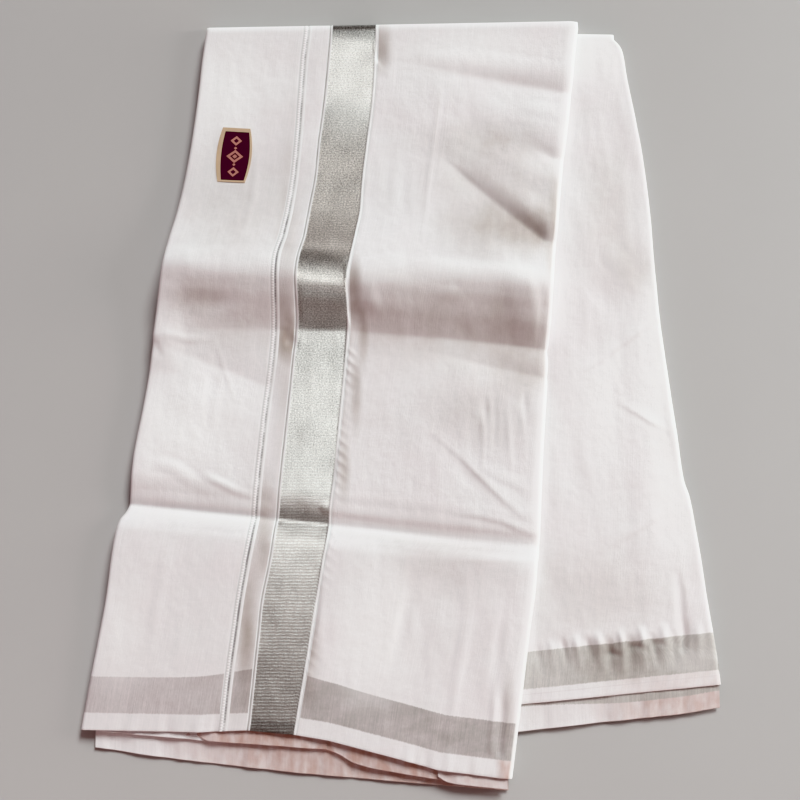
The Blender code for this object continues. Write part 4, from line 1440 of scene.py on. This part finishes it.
ROOM_STRENGTH = 0.15
FLOOR_HALF = 3.0
CAMERA_PLACE = (0.0298, -0.1365, 0.8391)
CAMERA_RIGHT = (0.99939, 0.0, -0.0349)
CAMERA_BACK = (0.0345, -0.1479, 0.9884)
CAMERA_LENS = 45.0


def make_floor():
    """A plain pale floor."""
    n = Nodes("pale_floor")
    place = n.add("TexCoord").outputs["Object"]
    noise = n.add("TexNoise", {"Vector": place, "Scale": 9.0, "Detail": 4.0})
    mottle = (Value(n, noise.outputs["Fac"]) - 0.5) * 0.04
    n.finish(n.tinted(FLOOR_GREY, mottle), 0.9, Specular_IOR_Level=0.2)
    mesh = bpy.data.meshes.new("floor")
    half = FLOOR_HALF
    mesh.from_pydata([(-half, -half, 0), (half, -half, 0), (half, half, 0), (-half, half, 0)],
                     [], [(0, 1, 2, 3)])
    mesh.materials.append(n.material)
    put_in_scene("floor", mesh)


def make_lights():
    """A soft key from the upper right, lower lights at the right, the left and the hems, a
    card overhead for the silver to mirror, and a dim warm room."""
    sun = bpy.data.lights.new("key", "SUN")
    sun.energy = KEY_ENERGY
    sun.angle = KEY_SOFTNESS
    sun.color = KEY_COLOUR
    key = put_in_scene("key", sun)
    towards = Vector((math.sin(KEY_TILT) * math.sin(KEY_TURN),
                      math.sin(KEY_TILT) * math.cos(KEY_TURN), math.cos(KEY_TILT)))
    key.rotation_euler = (-towards).to_track_quat("-Z", "Y").to_euler()
    key.visible_glossy = False
    for light in AREA_LIGHTS:
        data = bpy.data.lights.new(light.name, "AREA")
        data.shape = "RECTANGLE"
        data.size, data.size_y = light.size
        data.energy = light.power
        data.color = light.colour
        made = put_in_scene(light.name, data)
        made.location = light.place
        aim = Vector(light.target) - Vector(light.place)
        made.rotation_euler = aim.to_track_quat("-Z", "Y").to_euler()
        made.visible_glossy = light.mirrored
    bpy.data.objects["card"].visible_diffuse = False
    world = bpy.data.worlds.new("room")
    world.use_nodes = True
    background = world.node_tree.nodes["Background"]
    background.inputs["Color"].default_value = ROOM_COLOUR
    background.inputs["Strength"].default_value = ROOM_STRENGTH
    bpy.context.scene.world = world


def make_camera():
    """The photo's viewpoint: above the hems, looking down with a slight tilt."""
    data = bpy.data.cameras.new("photo_view")
    data.lens = CAMERA_LENS
    data.sensor_width = 36.0
    data.clip_start, data.clip_end = 0.01, 50.0
    camera = put_in_scene("photo_view", data)
    back = Vector(CAMERA_BACK).normalized()
    up = back.cross(Vector(CAMERA_RIGHT).normalized()).normalized()
    axes = Matrix((up.cross(back), up, back)).transposed()
    camera.matrix_world = Matrix.Translation(CAMERA_PLACE) @ axes.to_4x4()
    bpy.context.scene.camera = camera


def make_object():
    """Every visible piece."""
    plain = cotton("white_cotton", (BORDER_LOW, BORDER_HIGH, -190, -60),
                   stain_and_shade=(76, 84, 0.95, 26), with_painted_shading=True)
    rear_plain = cotton("rear_cotton", (REAR_BORDER_LOW, REAR_BORDER_HIGH, 110, 160),
                        hem_line=7.2, stain_and_shade=(150, 190, 0.26, 34), with_painted_shading=True,
                        border_tones=REAR_BORDER_TONES)
    rear_hem = cotton("rear_hem_cotton", (REAR_LAYER_BORDER_LOW, REAR_LAYER_BORDER_HIGH, 120, 185),
                      PINK, WHITE, stain_and_shade=(150, 205, 0.70, 60), border_tones=REAR_BORDER_TONES)
    # The front hems' cottons darken warm towards the right: painted shade under the front leaf's hem
    tones = {
        "warm": cotton("warm_hem_cotton", None, PINK, PINK, stain_and_shade=(-225, -150, 1.0, 80)),
        "plain": cotton("hem_cotton", None, PINK, WHITE, stain_and_shade=(-195, -105, 0.85, 60)),
        "pale": cotton("pale_hem_cotton", None, PINK, WHITE, stain_and_shade=(-215, 20, 0.50, 80)),
        "rear": rear_hem,
    }
    # The hidden thicknesses' sides and undersides: white cotton drawn darker and pinker as painted shade
    inner = cotton("inner_cotton", None, INNER_SHADE, PINK)
    front_sheet, front_grid = make_front_sheet([plain, silver_zari(), piping(), woven_line()])
    rear_grid = make_rear_sheet(rear_plain)
    for seed, layer in enumerate(HEM_LAYERS):
        hem_layer(layer, LAYER_DEPTH, tones[layer.tone], 50 + 3 * seed)
    for seed, layer in enumerate(REAR_HEM_LAYERS):
        hem_layer(layer, REAR_LAYER_DEPTH, tones[layer.tone], 90 + 3 * seed, REAR_BORDER_SKEW)
    make_sides(front_grid, rear_grid, inner)
    make_undersides(front_grid, rear_grid, inner)
    make_label(front_sheet, [printed_paper(name, ink) for name, ink in STICKER_INKS.items()])


make_object()
make_floor()
make_lights()
make_camera()
bpy.context.scene.view_settings.view_transform = "Khronos PBR Neutral"
